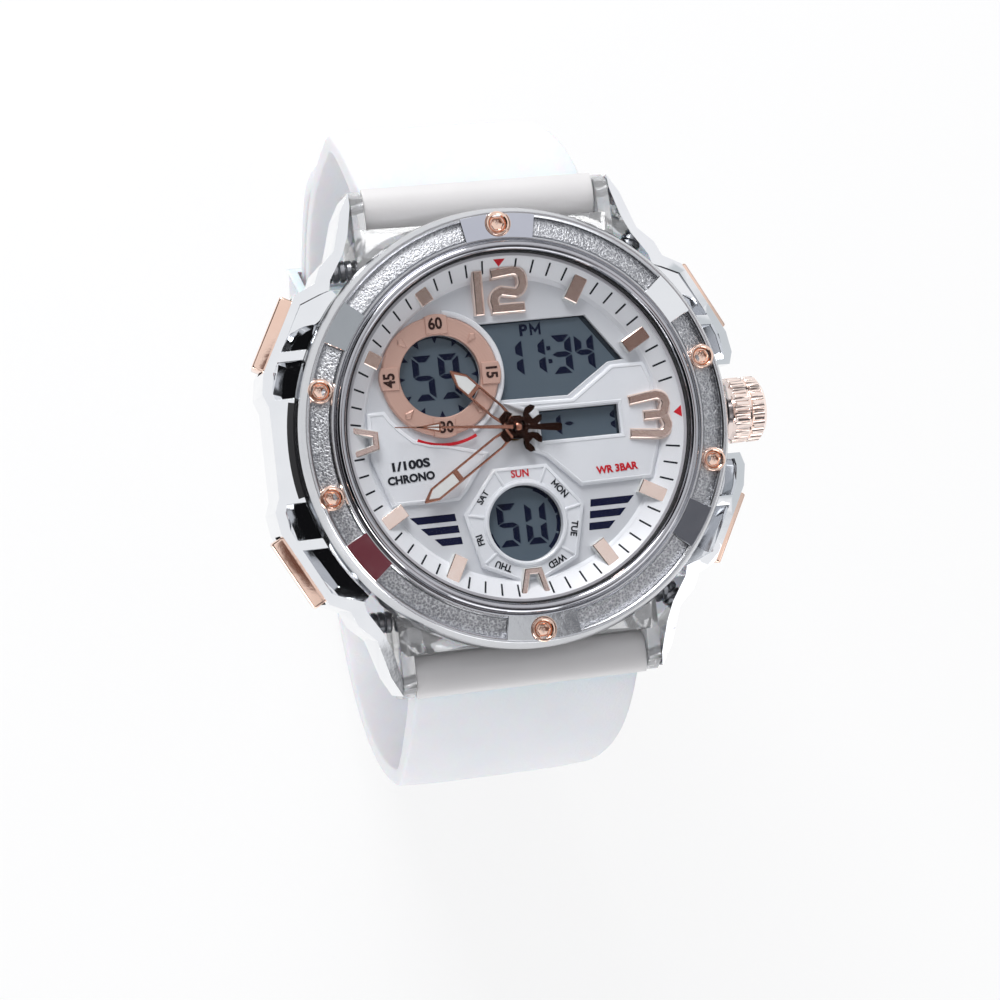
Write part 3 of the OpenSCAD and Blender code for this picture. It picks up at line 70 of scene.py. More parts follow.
# Height of the dial's face, and the middles and radii of its two round windows
DIAL_LEVEL = 11.1
SECONDS_AT: Point = (-7.2, 6.0)
SECONDS_R = 4.2
WEEKDAY_AT: Point = (0.0, -9.8)
WEEKDAY_R = 3.9


def hex_linear(code: str) -> tuple[float, float, float, float]:
    """Turns an sRGB hex colour into linear values.

    Args:
        code: six hex digits, such as "C0FFEE".

    Returns:
        The linear red, green and blue, and an alpha of 1.
    """
    parts = [int(code[i : i + 2], 16) / 255 for i in (0, 2, 4)]
    linear = [c / 12.92 if c <= 0.04045 else ((c + 0.055) / 1.055) ** 2.4 for c in parts]
    return (linear[0], linear[1], linear[2], 1.0)


def clock(angle: float, radius: float) -> Point:
    """Gives the point at a clockwise angle in degrees from 12 o'clock."""
    return (radius * math.sin(math.radians(angle)), radius * math.cos(math.radians(angle)))


def spun(angle: float, axis: str = "Z") -> Matrix:
    """Gives a turn about an axis, counter-clockwise in degrees."""
    return Matrix.Rotation(math.radians(angle), 4, axis)


def put(thing: bpy.types.Object) -> None:
    """Puts an object in the scene."""
    bpy.context.scene.collection.objects.link(thing)


def bare_tree(owner: bpy.types.Material | bpy.types.World) -> Tree:
    """Gives the node tree of a material or a world, emptied."""
    owner.use_nodes = True
    owner.node_tree.nodes.clear()
    return owner.node_tree


def add_node(
    tree: Tree, kind: str, settings: dict[str, object] | None = None,
    links: dict[str | int, object] | None = None
) -> bpy.types.Node:
    """Adds a node with its settings and its inputs.

    Args:
        tree: the node tree that takes the node.
        kind: the node's type name.
        settings: values of the node's own properties.
        links: for each input, an output socket to link or a value to set.

    Returns:
        The new node.
    """
    node = tree.nodes.new(kind)
    for key, value in (settings or {}).items():
        setattr(node, key, value)
    for key, value in (links or {}).items():
        if isinstance(value, Socket):
            tree.links.new(value, node.inputs[key])
        else:
            node.inputs[key].default_value = value
    return node


def blend(tree: Tree, share: object, low: object, high: object) -> Socket:
    """Gives the mix of two colours, where a share of 0 is the low one."""
    return add_node(tree, "ShaderNodeMix", {"data_type": "RGBA"}, {0: share, 6: low, 7: high}).outputs[2]


def combine(tree: Tree, operation: str, first: object, second: object) -> Socket:
    """Gives what a maths operation makes of two values."""
    return add_node(tree, "ShaderNodeMath", {"operation": operation}, {0: first, 1: second}).outputs[0]


class Grain(Enum):
    """How a surface was made, which gives it its fine pattern."""

    MOULDED = "moulded"
    BLASTED = "blasted"
    TURNED = "turned"
    BRUSHED = "brushed"
    WOUND = "wound"


@dataclass(frozen=True)
class Finish:
    """A real material and how its surface was made.

    Lengths are in millimetres. The grain changes the roughness and the height of the surface,
    and the tone changes its colour over a few millimetres.
    """

    name: str
    colour: str
    roughness: float
    metallic: float = 0.0
    ior: float = 1.5
    grain: Grain = Grain.MOULDED
    grain_mm: float = 0.4
    grain_depth: float = 0.05
    roughness_spread: float = 0.08
    tone: str = ""
    tone_mm: float = 3.0
    transmission: float = 0.0
    coat: float = 0.0
    subsurface: float = 0.0
    specular: float = 0.5
    alpha: float = 1.0
    centre: Triple = (0.0, 0.0, 0.0)

    def _pattern(self, tree: Tree, place: Socket) -> Socket:
        """Adds the grain's height pattern.

        Args:
            tree: the material's node tree.
            place: object coordinates about the finish's own centre, in metres.

        Returns:
            A socket with the height from 0 to 1.
        """
        per_metre = 1 / (self.grain_mm * MM)
        if self.grain is Grain.TURNED:
            return add_node(tree, "ShaderNodeTexWave",
                {"wave_type": "RINGS", "rings_direction": "Z"},
                {"Vector": place, "Scale": per_metre / math.tau, "Distortion": 0.6, "Detail": 1.0,
                 "Detail Scale": 2.0}).outputs["Fac"]
        if self.grain is Grain.WOUND:
            return add_node(tree, "ShaderNodeTexWave", {"bands_direction": "Y"},
                {"Vector": place, "Scale": per_metre / math.tau, "Distortion": 0.2}).outputs["Fac"]
        if self.grain is Grain.BRUSHED:
            stretched = add_node(tree, "ShaderNodeMapping", {}, {"Vector": place, "Scale": (0.04, 1.0, 1.0)})
            place = stretched.outputs["Vector"]
        if self.grain is Grain.BLASTED:
            cells = add_node(tree, "ShaderNodeTexVoronoi", {"feature": "SMOOTH_F1"},
                {"Vector": place, "Scale": per_metre, "Smoothness": 0.7})
            fine = add_node(tree, "ShaderNodeTexNoise", {},
                {"Vector": place, "Scale": 1.7 * per_metre, "Detail": 3.0, "Roughness": 0.6})
            return combine(tree, "MULTIPLY", cells.outputs["Distance"], fine.outputs["Fac"])
        return add_node(tree, "ShaderNodeTexNoise", {},
            {"Vector": place, "Scale": per_metre, "Detail": 4.0, "Roughness": 0.6}).outputs["Fac"]

    def material(self) -> bpy.types.Material:
        """Builds the material, or returns it if it is there already."""
        found = bpy.data.materials.get(f"{self.name}_finish")
        if found:
            return found
        material = bpy.data.materials.new(f"{self.name}_finish")
        tree = bare_tree(material)
        surface = add_node(tree, "ShaderNodeBsdfPrincipled", {}, {
            "Metallic": self.metallic, "Transmission Weight": self.transmission,
            "Coat Weight": self.coat, "Coat Roughness": 0.06, "Alpha": self.alpha,
            "Subsurface Weight": self.subsurface, "Subsurface Scale": 2.5 * MM,
            "Specular IOR Level": self.specular})
        if not self.metallic:
            surface.inputs["IOR"].default_value = self.ior
        self._link_pattern(tree, surface)
        add_node(tree, "ShaderNodeOutputMaterial", {}, {"Surface": surface.outputs["BSDF"]})
        return material

    def _link_pattern(self, tree: Tree, surface: bpy.types.Node) -> None:
        """Links the grain and the tone to the surface's colour, roughness and normal.

        Args:
            tree: the material's node tree.
            surface: the shader that they drive.
        """
        coordinates = add_node(tree, "ShaderNodeTexCoord")
        place = add_node(tree, "ShaderNodeMapping", {}, {
            "Vector": coordinates.outputs["Object"],
            "Location": tuple(-c * MM for c in self.centre)}).outputs["Vector"]
        height = self._pattern(tree, place)
        low = max(0.0, self.roughness - self.roughness_spread / 2)
        rough = add_node(tree, "ShaderNodeMapRange", {},
            {"Value": height, "To Min": low, "To Max": low + self.roughness_spread})
        tree.links.new(rough.outputs["Result"], surface.inputs["Roughness"])
        bump = add_node(tree, "ShaderNodeBump", {}, {
            "Height": height, "Strength": 1.0, "Distance": self.grain_depth * self.grain_mm * MM})
        tree.links.new(bump.outputs["Normal"], surface.inputs["Normal"])
        patches = add_node(tree, "ShaderNodeTexNoise", {},
            {"Vector": place, "Scale": 1 / (self.tone_mm * MM), "Detail": 2.0})
        share = patches.outputs["Fac"]
        if self.grain is Grain.BLASTED:
            share = add_node(tree, "ShaderNodeMapRange", {},
                {"Value": height, "From Min": 0.12, "From Max": 0.42}).outputs["Result"]
        tint = blend(tree, share, hex_linear(self.colour), hex_linear(self.tone or self.colour))
        tree.links.new(tint, surface.inputs["Base Color"])


class Finishes:
    """The finishes of the watch, each named for the real material and what it gives the eye, or for the
    shade, reflection or highlight that it paints.
    """

    # Injection moulded clear polycarbonate: glassy, with grey edges where light bends
    CLEAR_CASE = Finish("clear_polycarbonate", "F2F2F3", 0.08, ior=1.58, tone="EAEBEC", tone_mm=9,
        transmission=0.72, grain_depth=0.01, roughness_spread=0.03)
    # Chrome plated zinc: a cool mirror with faint waves from the plating
    CHROME = Finish("chrome_plate", "F2F3F5", 0.035, 1.0, grain_mm=2.5, grain_depth=0.006,
        roughness_spread=0.02, tone="E8EAED")
    # Lathe turned steel: a soft sheen with fine rings round the dial
    SATIN_STEEL = Finish("turned_steel", "D3D4D7", 0.2, 1.0, grain=Grain.TURNED, grain_mm=0.22,
        grain_depth=0.06, tone="C6C8CC")
    # Polished steel: a clean mirror with a slight haze
    POLISHED_STEEL = Finish("polished_steel", "F0F1F3", 0.06, 1.0, grain_mm=1.2, grain_depth=0.004,
        roughness_spread=0.03, tone="E6E8EB")
    # Darker plated steel of the ring round the glass: a smoky mirror
    RING_STEEL = Finish("smoked_ring_plate", "BDBDC2", 0.1, 1.0, grain_mm=1.2, grain_depth=0.004,
        roughness_spread=0.03, tone="B0B0B6")
    # Painted dark reflection: a dull black strip laid on the guard beside the bezel, standing for the dark
    # line that the chrome reflects there
    DARK_REFLECTION_STRIP = Finish("painted_dark_reflection_strip", "141416", 0.35, grain_mm=0.3, grain_depth=0.02,
        roughness_spread=0.1, tone="1B1B1E")
    # Sand blasted steel: coarse grey grit, drawn large enough to show
    BLASTED_STEEL = Finish("blasted_steel", "909196", 0.38, 0.92, grain=Grain.BLASTED, grain_mm=0.22,
        grain_depth=0.55, roughness_spread=0.2, tone="D4D5D8")
    # Plain stainless steel inside the case: dull and slightly streaked
    PLAIN_STEEL = Finish("plain_steel", "B4B6BA", 0.3, 1.0, grain=Grain.BRUSHED, grain_mm=0.25,
        grain_depth=0.1, tone="A2A4A9")
    # Rose gold plated steel: warm pink mirror with slow tone changes
    ROSE_STEEL = Finish("rose_gold_plate", "F8DCCD", 0.12, 1.0, grain_mm=1.5, grain_depth=0.012,
        roughness_spread=0.06, tone="F0CAB6")
    # Rose gold of the crown, paler than the same plating on the pushers: the extra paleness is painted
    # highlight on its polished flutes
    ROSE_CROWN_HIGHLIT = Finish("rose_gold_crown_painted_highlight", "FFF3EC", 0.1, 1.0, grain_mm=1.0, grain_depth=0.01,
        roughness_spread=0.05, tone="FAE2D7")
    # Rose plated tops of the markers: satin metal, dark or bright with what it faces
    ROSE_PAINT = Finish("rose_marker_plate", "FFEEE6", 0.13, 0.9, grain_mm=0.15, grain_depth=0.03,
        roughness_spread=0.04, tone="FADFD3", tone_mm=1.2)
    # Frosted sides of the numerals: the palest rose, satin
    ROSE_EDGE = Finish("rose_marker_edge", "F4E4DD", 0.4, 0.2, grain_mm=0.15, grain_depth=0.08,
        tone="EAD5CC", tone_mm=1.2)
    # Rose dial ring: satin metal with faint circular graining about the small window
    ROSE_DIAL = Finish("rose_circular_grain", "DDB7A9", 0.36, 0.4, grain=Grain.TURNED, grain_mm=0.16,
        grain_depth=0.03, tone="D1A99B", tone_mm=2.0, centre=(*SECONDS_AT, 0.0))
    # Rose gold hands: polished thin sheet
    ROSE_HANDS = Finish("rose_gold_hands", "C99480", 0.16, 1.0, grain=Grain.BRUSHED, grain_mm=0.12,
        grain_depth=0.05, tone="A9715D")
    # Bronzed hub and tails of the hands: dark facets
    DARK_BRONZE = Finish("dark_bronze_plate", "38211A", 0.2, 1.0, grain_mm=0.6, grain_depth=0.03,
        tone="24130E")
    # Luminous paint in the hands and round the markers: chalky white
    LUME = Finish("white_lume", "EFF0EE", 0.62, grain_mm=0.12, grain_depth=0.3, tone="E2E3E2", tone_mm=0.8)
    # Pearl white lacquer of the dial: soft sheen with a cool metallic shimmer
    WHITE_DIAL = Finish("white_dial_lacquer", "E0E2E7", 0.4, 0.12, grain_mm=0.1, grain_depth=0.06,
        tone="D9DCE2", tone_mm=5, coat=0.1)
    # White sloped track: brighter lacquer than the dial
    WHITE_TRACK = Finish("white_track_lacquer", "F4F5F9", 0.36, 0.05, grain_mm=0.12, grain_depth=0.05,
        tone="EDEFF4", coat=0.1)
    # White enamel on the raised edges of the dial: brighter than the lacquer beside it
    WHITE_EDGE = Finish("white_edge_enamel", "F1F3F8", 0.28, grain_mm=0.15, grain_depth=0.02, tone="E9ECF2",
        coat=0.2)
    # Liquid crystal glass: grey green with slow rubbing streaks
    LCD_GLASS = Finish("liquid_crystal_glass", "5E6B76", 0.3, grain=Grain.BRUSHED, grain_mm=0.5,
        grain_depth=0.01, tone="54616D", tone_mm=4, specular=0.25)
    # Lit segments: ink blue, with the shadow that they throw on the mirror behind
    SEGMENT = Finish("liquid_crystal_segment", "060D26", 0.5, grain_mm=0.2, grain_depth=0.02, tone="0A1230",
        tone_mm=1, specular=0.1)
    SEGMENT_SHADOW = Finish("segment_shadow", "434E5B", 0.5, grain_mm=0.3, grain_depth=0.01, tone="3E4956",
        tone_mm=1, specular=0.1)
    # Painted shade on the liquid crystal: dark strips along the top and right of each window, where the
    # window's wall shades the panel
    WINDOW_SHADE = Finish("painted_window_shade", "2C333C", 0.5, grain_mm=0.3, grain_depth=0.02, tone="252C34", tone_mm=1,
        specular=0.1)
    # Printed inks: matt, slightly uneven where the pad left them
    BLACK_INK = Finish("black_pad_ink", "24262C", 0.6, grain_mm=0.1, grain_depth=0.1, tone="30323A",
        tone_mm=0.5, specular=0.1)
    RED_INK = Finish("red_pad_ink", "D92F3A", 0.55, grain_mm=0.1, grain_depth=0.1, tone="CB2833", tone_mm=0.5,
        specular=0.1)
    NAVY_INK = Finish("navy_pad_ink", "0F1330", 0.5, grain_mm=0.1, grain_depth=0.1, tone="151A3C",
        tone_mm=0.5, specular=0.12)
    BROWN_INK = Finish("brown_pad_ink", "3E2A28", 0.6, grain_mm=0.1, grain_depth=0.1, tone="342321",
        tone_mm=0.5, specular=0.1)
    # Mineral glass: clear and hard, seen by its reflections
    GLASS = Finish("mineral_glass", "0A0B0C", 0.02, alpha=0.06, grain_mm=6, grain_depth=0.0,
        roughness_spread=0.01)
    # Nitrile rubber seals: matt black
    RUBBER = Finish("black_nitrile_rubber", "1C1C1E", 0.6, grain_mm=0.2, grain_depth=0.2, tone="262629")
    # Pale nylon flange under the glass: lilac grey and satin
    PALE_GASKET = Finish("pale_nylon_flange", "D2D0D6", 0.35, grain_mm=0.3, grain_depth=0.03, tone="C6C4CB",
        tone_mm=3)
    # Layered contact rubber: pink with dark layers across
    CONTACT_RUBBER = Finish("layered_contact_rubber", "D49AA6", 0.6, grain=Grain.WOUND, grain_mm=0.3,
        grain_depth=0.2, tone="6C3A45", tone_mm=0.3)
    # Frosted acrylic light guide: milky
    LIGHT_GUIDE = Finish("frosted_acrylic", "E9EFE2", 0.35, transmission=0.3, grain_mm=0.3,
        grain_depth=0.1, tone="DDE5D5")
    # Glass filled nylon: dark grey with short fibres
    MODULE_PLASTIC = Finish("glass_filled_nylon", "2A2B30", 0.45, grain=Grain.BRUSHED, grain_mm=0.3,
        grain_depth=0.15, tone="1F2024")
    # Cut brass wheels and plates
    BRASS = Finish("cut_brass", "D0A85C", 0.25, 1.0, grain=Grain.BRUSHED, grain_mm=0.2, grain_depth=0.08,
        tone="B98F48")
    # Enamelled copper wire, wound in even turns
    COPPER = Finish("enamelled_copper_wire", "B8643A", 0.28, 0.9, grain=Grain.WOUND, grain_mm=0.25,
        grain_depth=0.5, tone="8E4524", tone_mm=0.6)
    # Circuit board under green solder mask
    BOARD = Finish("green_solder_mask", "1E5B38", 0.35, grain_mm=0.5, grain_depth=0.08, tone="154828",
        tone_mm=1.5, coat=0.4)
    # Warm grey lacquer of the plates over the strap's ends
    COVER_GREY = Finish("warm_grey_lacquer", "DEDCDC", 0.3, grain_mm=0.5, grain_depth=0.02,
        tone="D4D2D2", tone_mm=7, coat=0.3)
    # Cast thermoplastic resin strap: milky, lets some light through
    STRAP_RESIN = Finish("milky_strap_resin", "E6E8EC", 0.34, ior=1.48, grain_mm=0.35, grain_depth=0.12,
        tone="DCDFE4", tone_mm=8, transmission=0.12, subsurface=0.35)


def circle_loop(x: float, y: float, radius: float, count: int = 96) -> list[Point]:
    """Gives the points of a circle, counter-clockwise.

    Args:
        x: the middle along X in millimetres.
        y: the middle along Y.
        radius: the radius.
        count: how many points it has.

    Returns:
        The points.
    """
    turns = [math.tau * i / count for i in range(count)]
    return [(x + radius * math.cos(t), y + radius * math.sin(t)) for t in turns]


def box_loop(x0: float, y0: float, x1: float, y1: float) -> list[Point]:
    """Gives the corners of a rectangle, counter-clockwise."""
    return [(x0, y0), (x1, y0), (x1, y1), (x0, y1)]


def turned(loop: Loop, angle: float, shift: Point = (0.0, 0.0)) -> list[Point]:
    """Turns a loop clockwise about the origin, then shifts it.

    Args:
        loop: the points.
        angle: the turn in degrees.
        shift: how far it moves afterwards.

    Returns:
        The moved points.
    """
    c = math.cos(math.radians(angle))
    s = math.sin(math.radians(angle))
    return [(x * c + y * s + shift[0], -x * s + y * c + shift[1]) for x, y in loop]


def band_loop(path: Loop, width: float) -> list[Point]:
    """Gives the outline of a path that has a width, with mitred corners and square ends.

    Args:
        path: the middle line.
        width: the width of the band.

    Returns:
        The outline's points.
    """
    points = [Vector(p) for p in path]
    ways = [(b - a).normalized() for a, b in zip(points, points[1:])]
    left: list[Point] = []
    right: list[Point] = []
    for i, point in enumerate(points):
        before = ways[max(i - 1, 0)]
        after = ways[min(i, len(ways) - 1)]
        normal = Vector((-before.y - after.y, before.x + after.x))
        shift = normal * (width / normal.length_squared)
        left.append((point + shift).to_tuple())
        right.append((point - shift).to_tuple())
    return left + right[::-1]


def eased(path: Loop, radius: float, steps: int = 6) -> list[Point]:
    """Rounds the corners of an open path with arcs.

    Args:
        path: the corners.
        radius: the radius of the arcs.
        steps: how many pieces each corner gets.

    Returns:
        The rounded path.
    """
    points = [Vector(p) for p in path]
    soft = [points[0].to_tuple()]
    for before, corner, after in zip(points, points[1:], points[2:]):
        first = (before - corner).normalized()
        last = (after - corner).normalized()
        half = first.angle(last) / 2
        reach = min(radius / math.tan(half), (before - corner).length * 0.5, (after - corner).length * 0.5)
        centre = corner + (first + last).normalized() * (reach / math.cos(half))
        start = corner + first * reach - centre
        end = corner + last * reach - centre
        soft += [(centre + start.slerp(end, i / steps)).to_tuple() for i in range(steps + 1)]
    soft.append(points[-1].to_tuple())
    return soft


def merge(part: Part) -> Part:
    """Closes seams and poles, then points the faces outwards."""
    bmesh.ops.remove_doubles(part, verts=part.verts, dist=0.0004)
    bmesh.ops.dissolve_degenerate(part, edges=part.edges, dist=0.0002)
    bmesh.ops.recalc_face_normals(part, faces=part.faces)
    return part


def flat_region(loops: Sequence[Loop], z: float) -> tuple[Part, list[bmesh.types.BMFace]]:
    """Fills an outline and its holes with flat faces that look up.

    Args:
        loops: the outline first, then its holes.
        z: the height of the faces in millimetres.

    Returns:
        The new part and its faces.
    """
    part = bmesh.new()
    for loop in loops:
        corners = [part.verts.new((x, y, z)) for x, y in loop]
        for a, b in zip(corners, corners[1:] + corners[:1]):
            part.edges.new((a, b))
    bmesh.ops.triangle_fill(part, use_beauty=True, use_dissolve=False, normal=(0, 0, 1), edges=part.edges)
    for face in part.faces:
        face.normal_update()
        if face.normal.z < 0:
            face.normal_flip()
    return part, list(part.faces)


def plate(
    loops: Sequence[Loop], low: float, steps: Sequence[Point],
    roof: Callable[[float, float], float] | None = None
) -> Part:
    """Raises an outline into a plate whose top steps inwards and upwards.

    Args:
        loops: the outline first, then its holes, in millimetres.
        low: the height of the underside.
        steps: for each step, how far it goes in and how far up.
        roof: adds a height to the top at each x and y, for a top that isn't level.

    Returns:
        The closed part.
    """
    part, top = flat_region(loops, low)
    height = low
    for number, (inset, rise) in enumerate(steps):
        height += rise
        if number == 0 or inset <= 0:
            grown = bmesh.ops.extrude_face_region(part, geom=top)
            top = [g for g in grown["geom"] if isinstance(g, bmesh.types.BMFace)]
        if inset > 0:
            bmesh.ops.inset_region(part, faces=top, thickness=inset, depth=0, use_boundary=True,
                use_even_offset=True)
        for vert in {v for face in top for v in face.verts}:
            vert.co.z = height + (roof(vert.co.x, vert.co.y) if roof else 0.0)
    bmesh.ops.recalc_face_normals(part, faces=part.faces)
    return part


def lathe(
    profile: Loop, steps: int = 144, start: float = 0.0, sweep: float = 360.0, centre: Point = (0.0, 0.0)
) -> Part:
    """Turns a closed profile about an upright axis.

    Args:
        profile: radius and height of each corner, in millimetres.
        steps: how many steps a full turn has.
        start: the clock angle where it starts, in degrees.
        sweep: how far it turns clockwise.
        centre: where the axis stands.

    Returns:
        The closed part.
    """
    part = bmesh.new()
    corners = []
    for radius, height in profile:
        x, y = clock(start, radius)
        corners.append(part.verts.new((x + centre[0], y + centre[1], height)))
    count = max(2, round(steps * sweep / 360))
    whole = sweep >= 360
    if whole:
        line = [part.edges.new((a, b)) for a, b in zip(corners, corners[1:] + corners[:1])]
        geometry = corners + line
    else:
        face = part.faces.new(corners)
        geometry = [face, *face.edges, *face.verts]
    bmesh.ops.spin(part, geom=geometry, cent=(centre[0], centre[1], 0), axis=(0, 0, -1),
        angle=math.radians(sweep), steps=count, use_merge=whole, use_duplicate=False)
    return merge(part)


def lettering(text: str, height: float, depth: float, bold: float, squeeze: float) -> Part:
    """Makes raised letters that stand on the level z = 0, centred on the origin.

    Args:
        text: the words.
        height: the height of a capital in millimetres.
        depth: how high the letters stand.
        bold: how much wider each stroke is than the font's own.
        squeeze: the width of the letters, where 1 is the font's own.

    Returns:
        The part.
    """
    curve = bpy.data.curves.new("words", "FONT")
    curve.body = text
    curve.align_x = "CENTER"
    curve.align_y = "CENTER"
    curve.size = height / CAPITAL
    curve.offset = bold
    curve.resolution_u = 3
    curve.extrude = depth / 2
    holder = bpy.data.objects.new("words", curve)
    put(holder)
    mesh = bpy.data.meshes.new_from_object(holder)
    part = bmesh.new()
    part.from_mesh(mesh)
    bpy.data.objects.remove(holder)
    bpy.data.curves.remove(curve)
    bpy.data.meshes.remove(mesh)
    bmesh.ops.scale(part, vec=(squeeze, 1, 1), verts=part.verts)
    bmesh.ops.translate(part, vec=(0, 0, depth / 2), verts=part.verts)
    return merge(part)


def node_copy(node: str, flat: float = 0.6) -> Part:
    """Copies a node's mesh in millimetres, with its seams closed and its flat faces joined.

    Args:
        node: the node's name.
        flat: faces that meet at less than this angle in degrees are joined.

    Returns:
        The closed part.
    """
    part = bmesh.new()
    part.from_mesh(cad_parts[node].data)
    bmesh.ops.scale(part, vec=(1 / MM, 1 / MM, 1 / MM), verts=part.verts)
    bmesh.ops.remove_doubles(part, verts=part.verts, dist=0.0008)
    bmesh.ops.dissolve_limit(part, angle_limit=math.radians(flat), use_dissolve_boundaries=False,
        verts=part.verts, edges=part.edges, delimit=set())
    return part


class Piece:
    """One piece of the watch, gathered from parts in millimetres."""

    def __init__(self, name: str) -> None:
        """Starts an empty piece with its name."""
        self.name = name
        self.mesh = bmesh.new()
        self.finishes: list[Finish] = []

    def add(self, part: Part, finish: Finish, place: Matrix | None = None) -> "Piece":
        """Adds a part in a finish.

        Args:
            part: the part, which is used up.
            finish: what it is made of.
            place: moves the part to where it belongs.

        Returns:
            The piece itself.
        """
        if finish not in self.finishes:
            self.finishes.append(finish)
        if place is not None:
            bmesh.ops.transform(part, matrix=place, verts=part.verts)
        for face in part.faces:
            face.material_index = self.finishes.index(finish)
        carrier = bpy.data.meshes.new("carrier")
        part.to_mesh(carrier)
        part.free()
        self.mesh.from_mesh(carrier)
        bpy.data.meshes.remove(carrier)
        return self

    def build(
        self, body: str, slot: str, replaces: Iterable[str] = (),
        bevel: float = 0.0, smooth: float = 32.0, segments: int = 2
    ) -> bpy.types.Object:
        """Makes the object, puts it on the body that carries it, and hides the nodes that it stands for.

        Args:
            body: the body that carries it.
            slot: the material slot that it takes its finish from; not used.
            replaces: the nodes that it stands for.
            bevel: the width of the soft edges in millimetres.
            smooth: edges sharper than this angle in degrees stay sharp.
            segments: how many faces each soft edge has.

        Returns:
            The object.
        """
        bmesh.ops.scale(self.mesh, vec=(MM, MM, MM), verts=self.mesh.verts)
        mesh = bpy.data.meshes.new(self.name)
        self.mesh.to_mesh(mesh)
        self.mesh.free()
        for finish in self.finishes:
            mesh.materials.append(finish.material())
        mesh.polygons.foreach_set("use_smooth", [True] * len(mesh.polygons))
        mesh.set_sharp_from_angle(angle=math.radians(smooth))
        thing = bpy.data.objects.new(self.name, mesh)
        put(thing)
        if bevel > 0:
            soft = thing.modifiers.new("soft_edges", "BEVEL")
            soft.width = bevel * MM
            soft.segments = segments
            soft.limit_method = "ANGLE"
            soft.angle_limit = math.radians(smooth)
            soft.harden_normals = True
            soft.miter_outer = "MITER_ARC"
            soft.use_clamp_overlap = True
        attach(thing, body)
        if replaces:
            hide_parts(*replaces)
        LOG.info("%s: %d faces on %s", self.name, len(mesh.polygons), body)
        return thing


@dataclass
class Case:
    """The clear case with its lugs, and the steel parts that show through it."""

    sleeve_x: float = 15.35
    sleeve_y: float = 18.3
    sleeve_z: float = 5.0
    sleeve_r: float = 1.15
    sleeve_len: float = 2.9
    peg_r: float = 0.53
    groove: float = 0.12
    rib_edge: float = 0.15
    soft: float = 0.14
    ribs: int = 4

    def middle(self) -> None:
        """Builds the moulded case middle with softened edges."""
        Piece("case_shell").add(node_copy("case_middle"), Finishes.CLEAR_CASE).build(
            "case", "clear_case", ["case_middle"], bevel=self.soft, smooth=38)

    def sleeves(self) -> None:
        """Builds the ribbed sleeves round the guards' pegs."""
        piece = Piece("peg_sleeves")
        rib = self.sleeve_len / self.ribs
        profile: list[Point] = [(self.peg_r, 0.0), (self.peg_r, self.sleeve_len)]
        valley = self.sleeve_r - self.groove
        for i in range(self.ribs, 0, -1):
            top = i * rib
            profile += [(valley, top), (self.sleeve_r, top - self.rib_edge),
                (self.sleeve_r, top - rib + self.rib_edge), (valley, top - rib)]
        for sx in (-1, 1):
            for sy in (-1, 1):
                place = Matrix.Translation((sx * (self.sleeve_x - self.sleeve_len / 2), sy * self.sleeve_y,
                    self.sleeve_z)) @ spun(sx * 90, "Y")
                piece.add(lathe(profile, 32), Finishes.PLAIN_STEEL, place)
        piece.build("case", "plain_steel")

    def build(self) -> None:
        """Builds the whole case."""
        self.middle()
        self.sleeves()


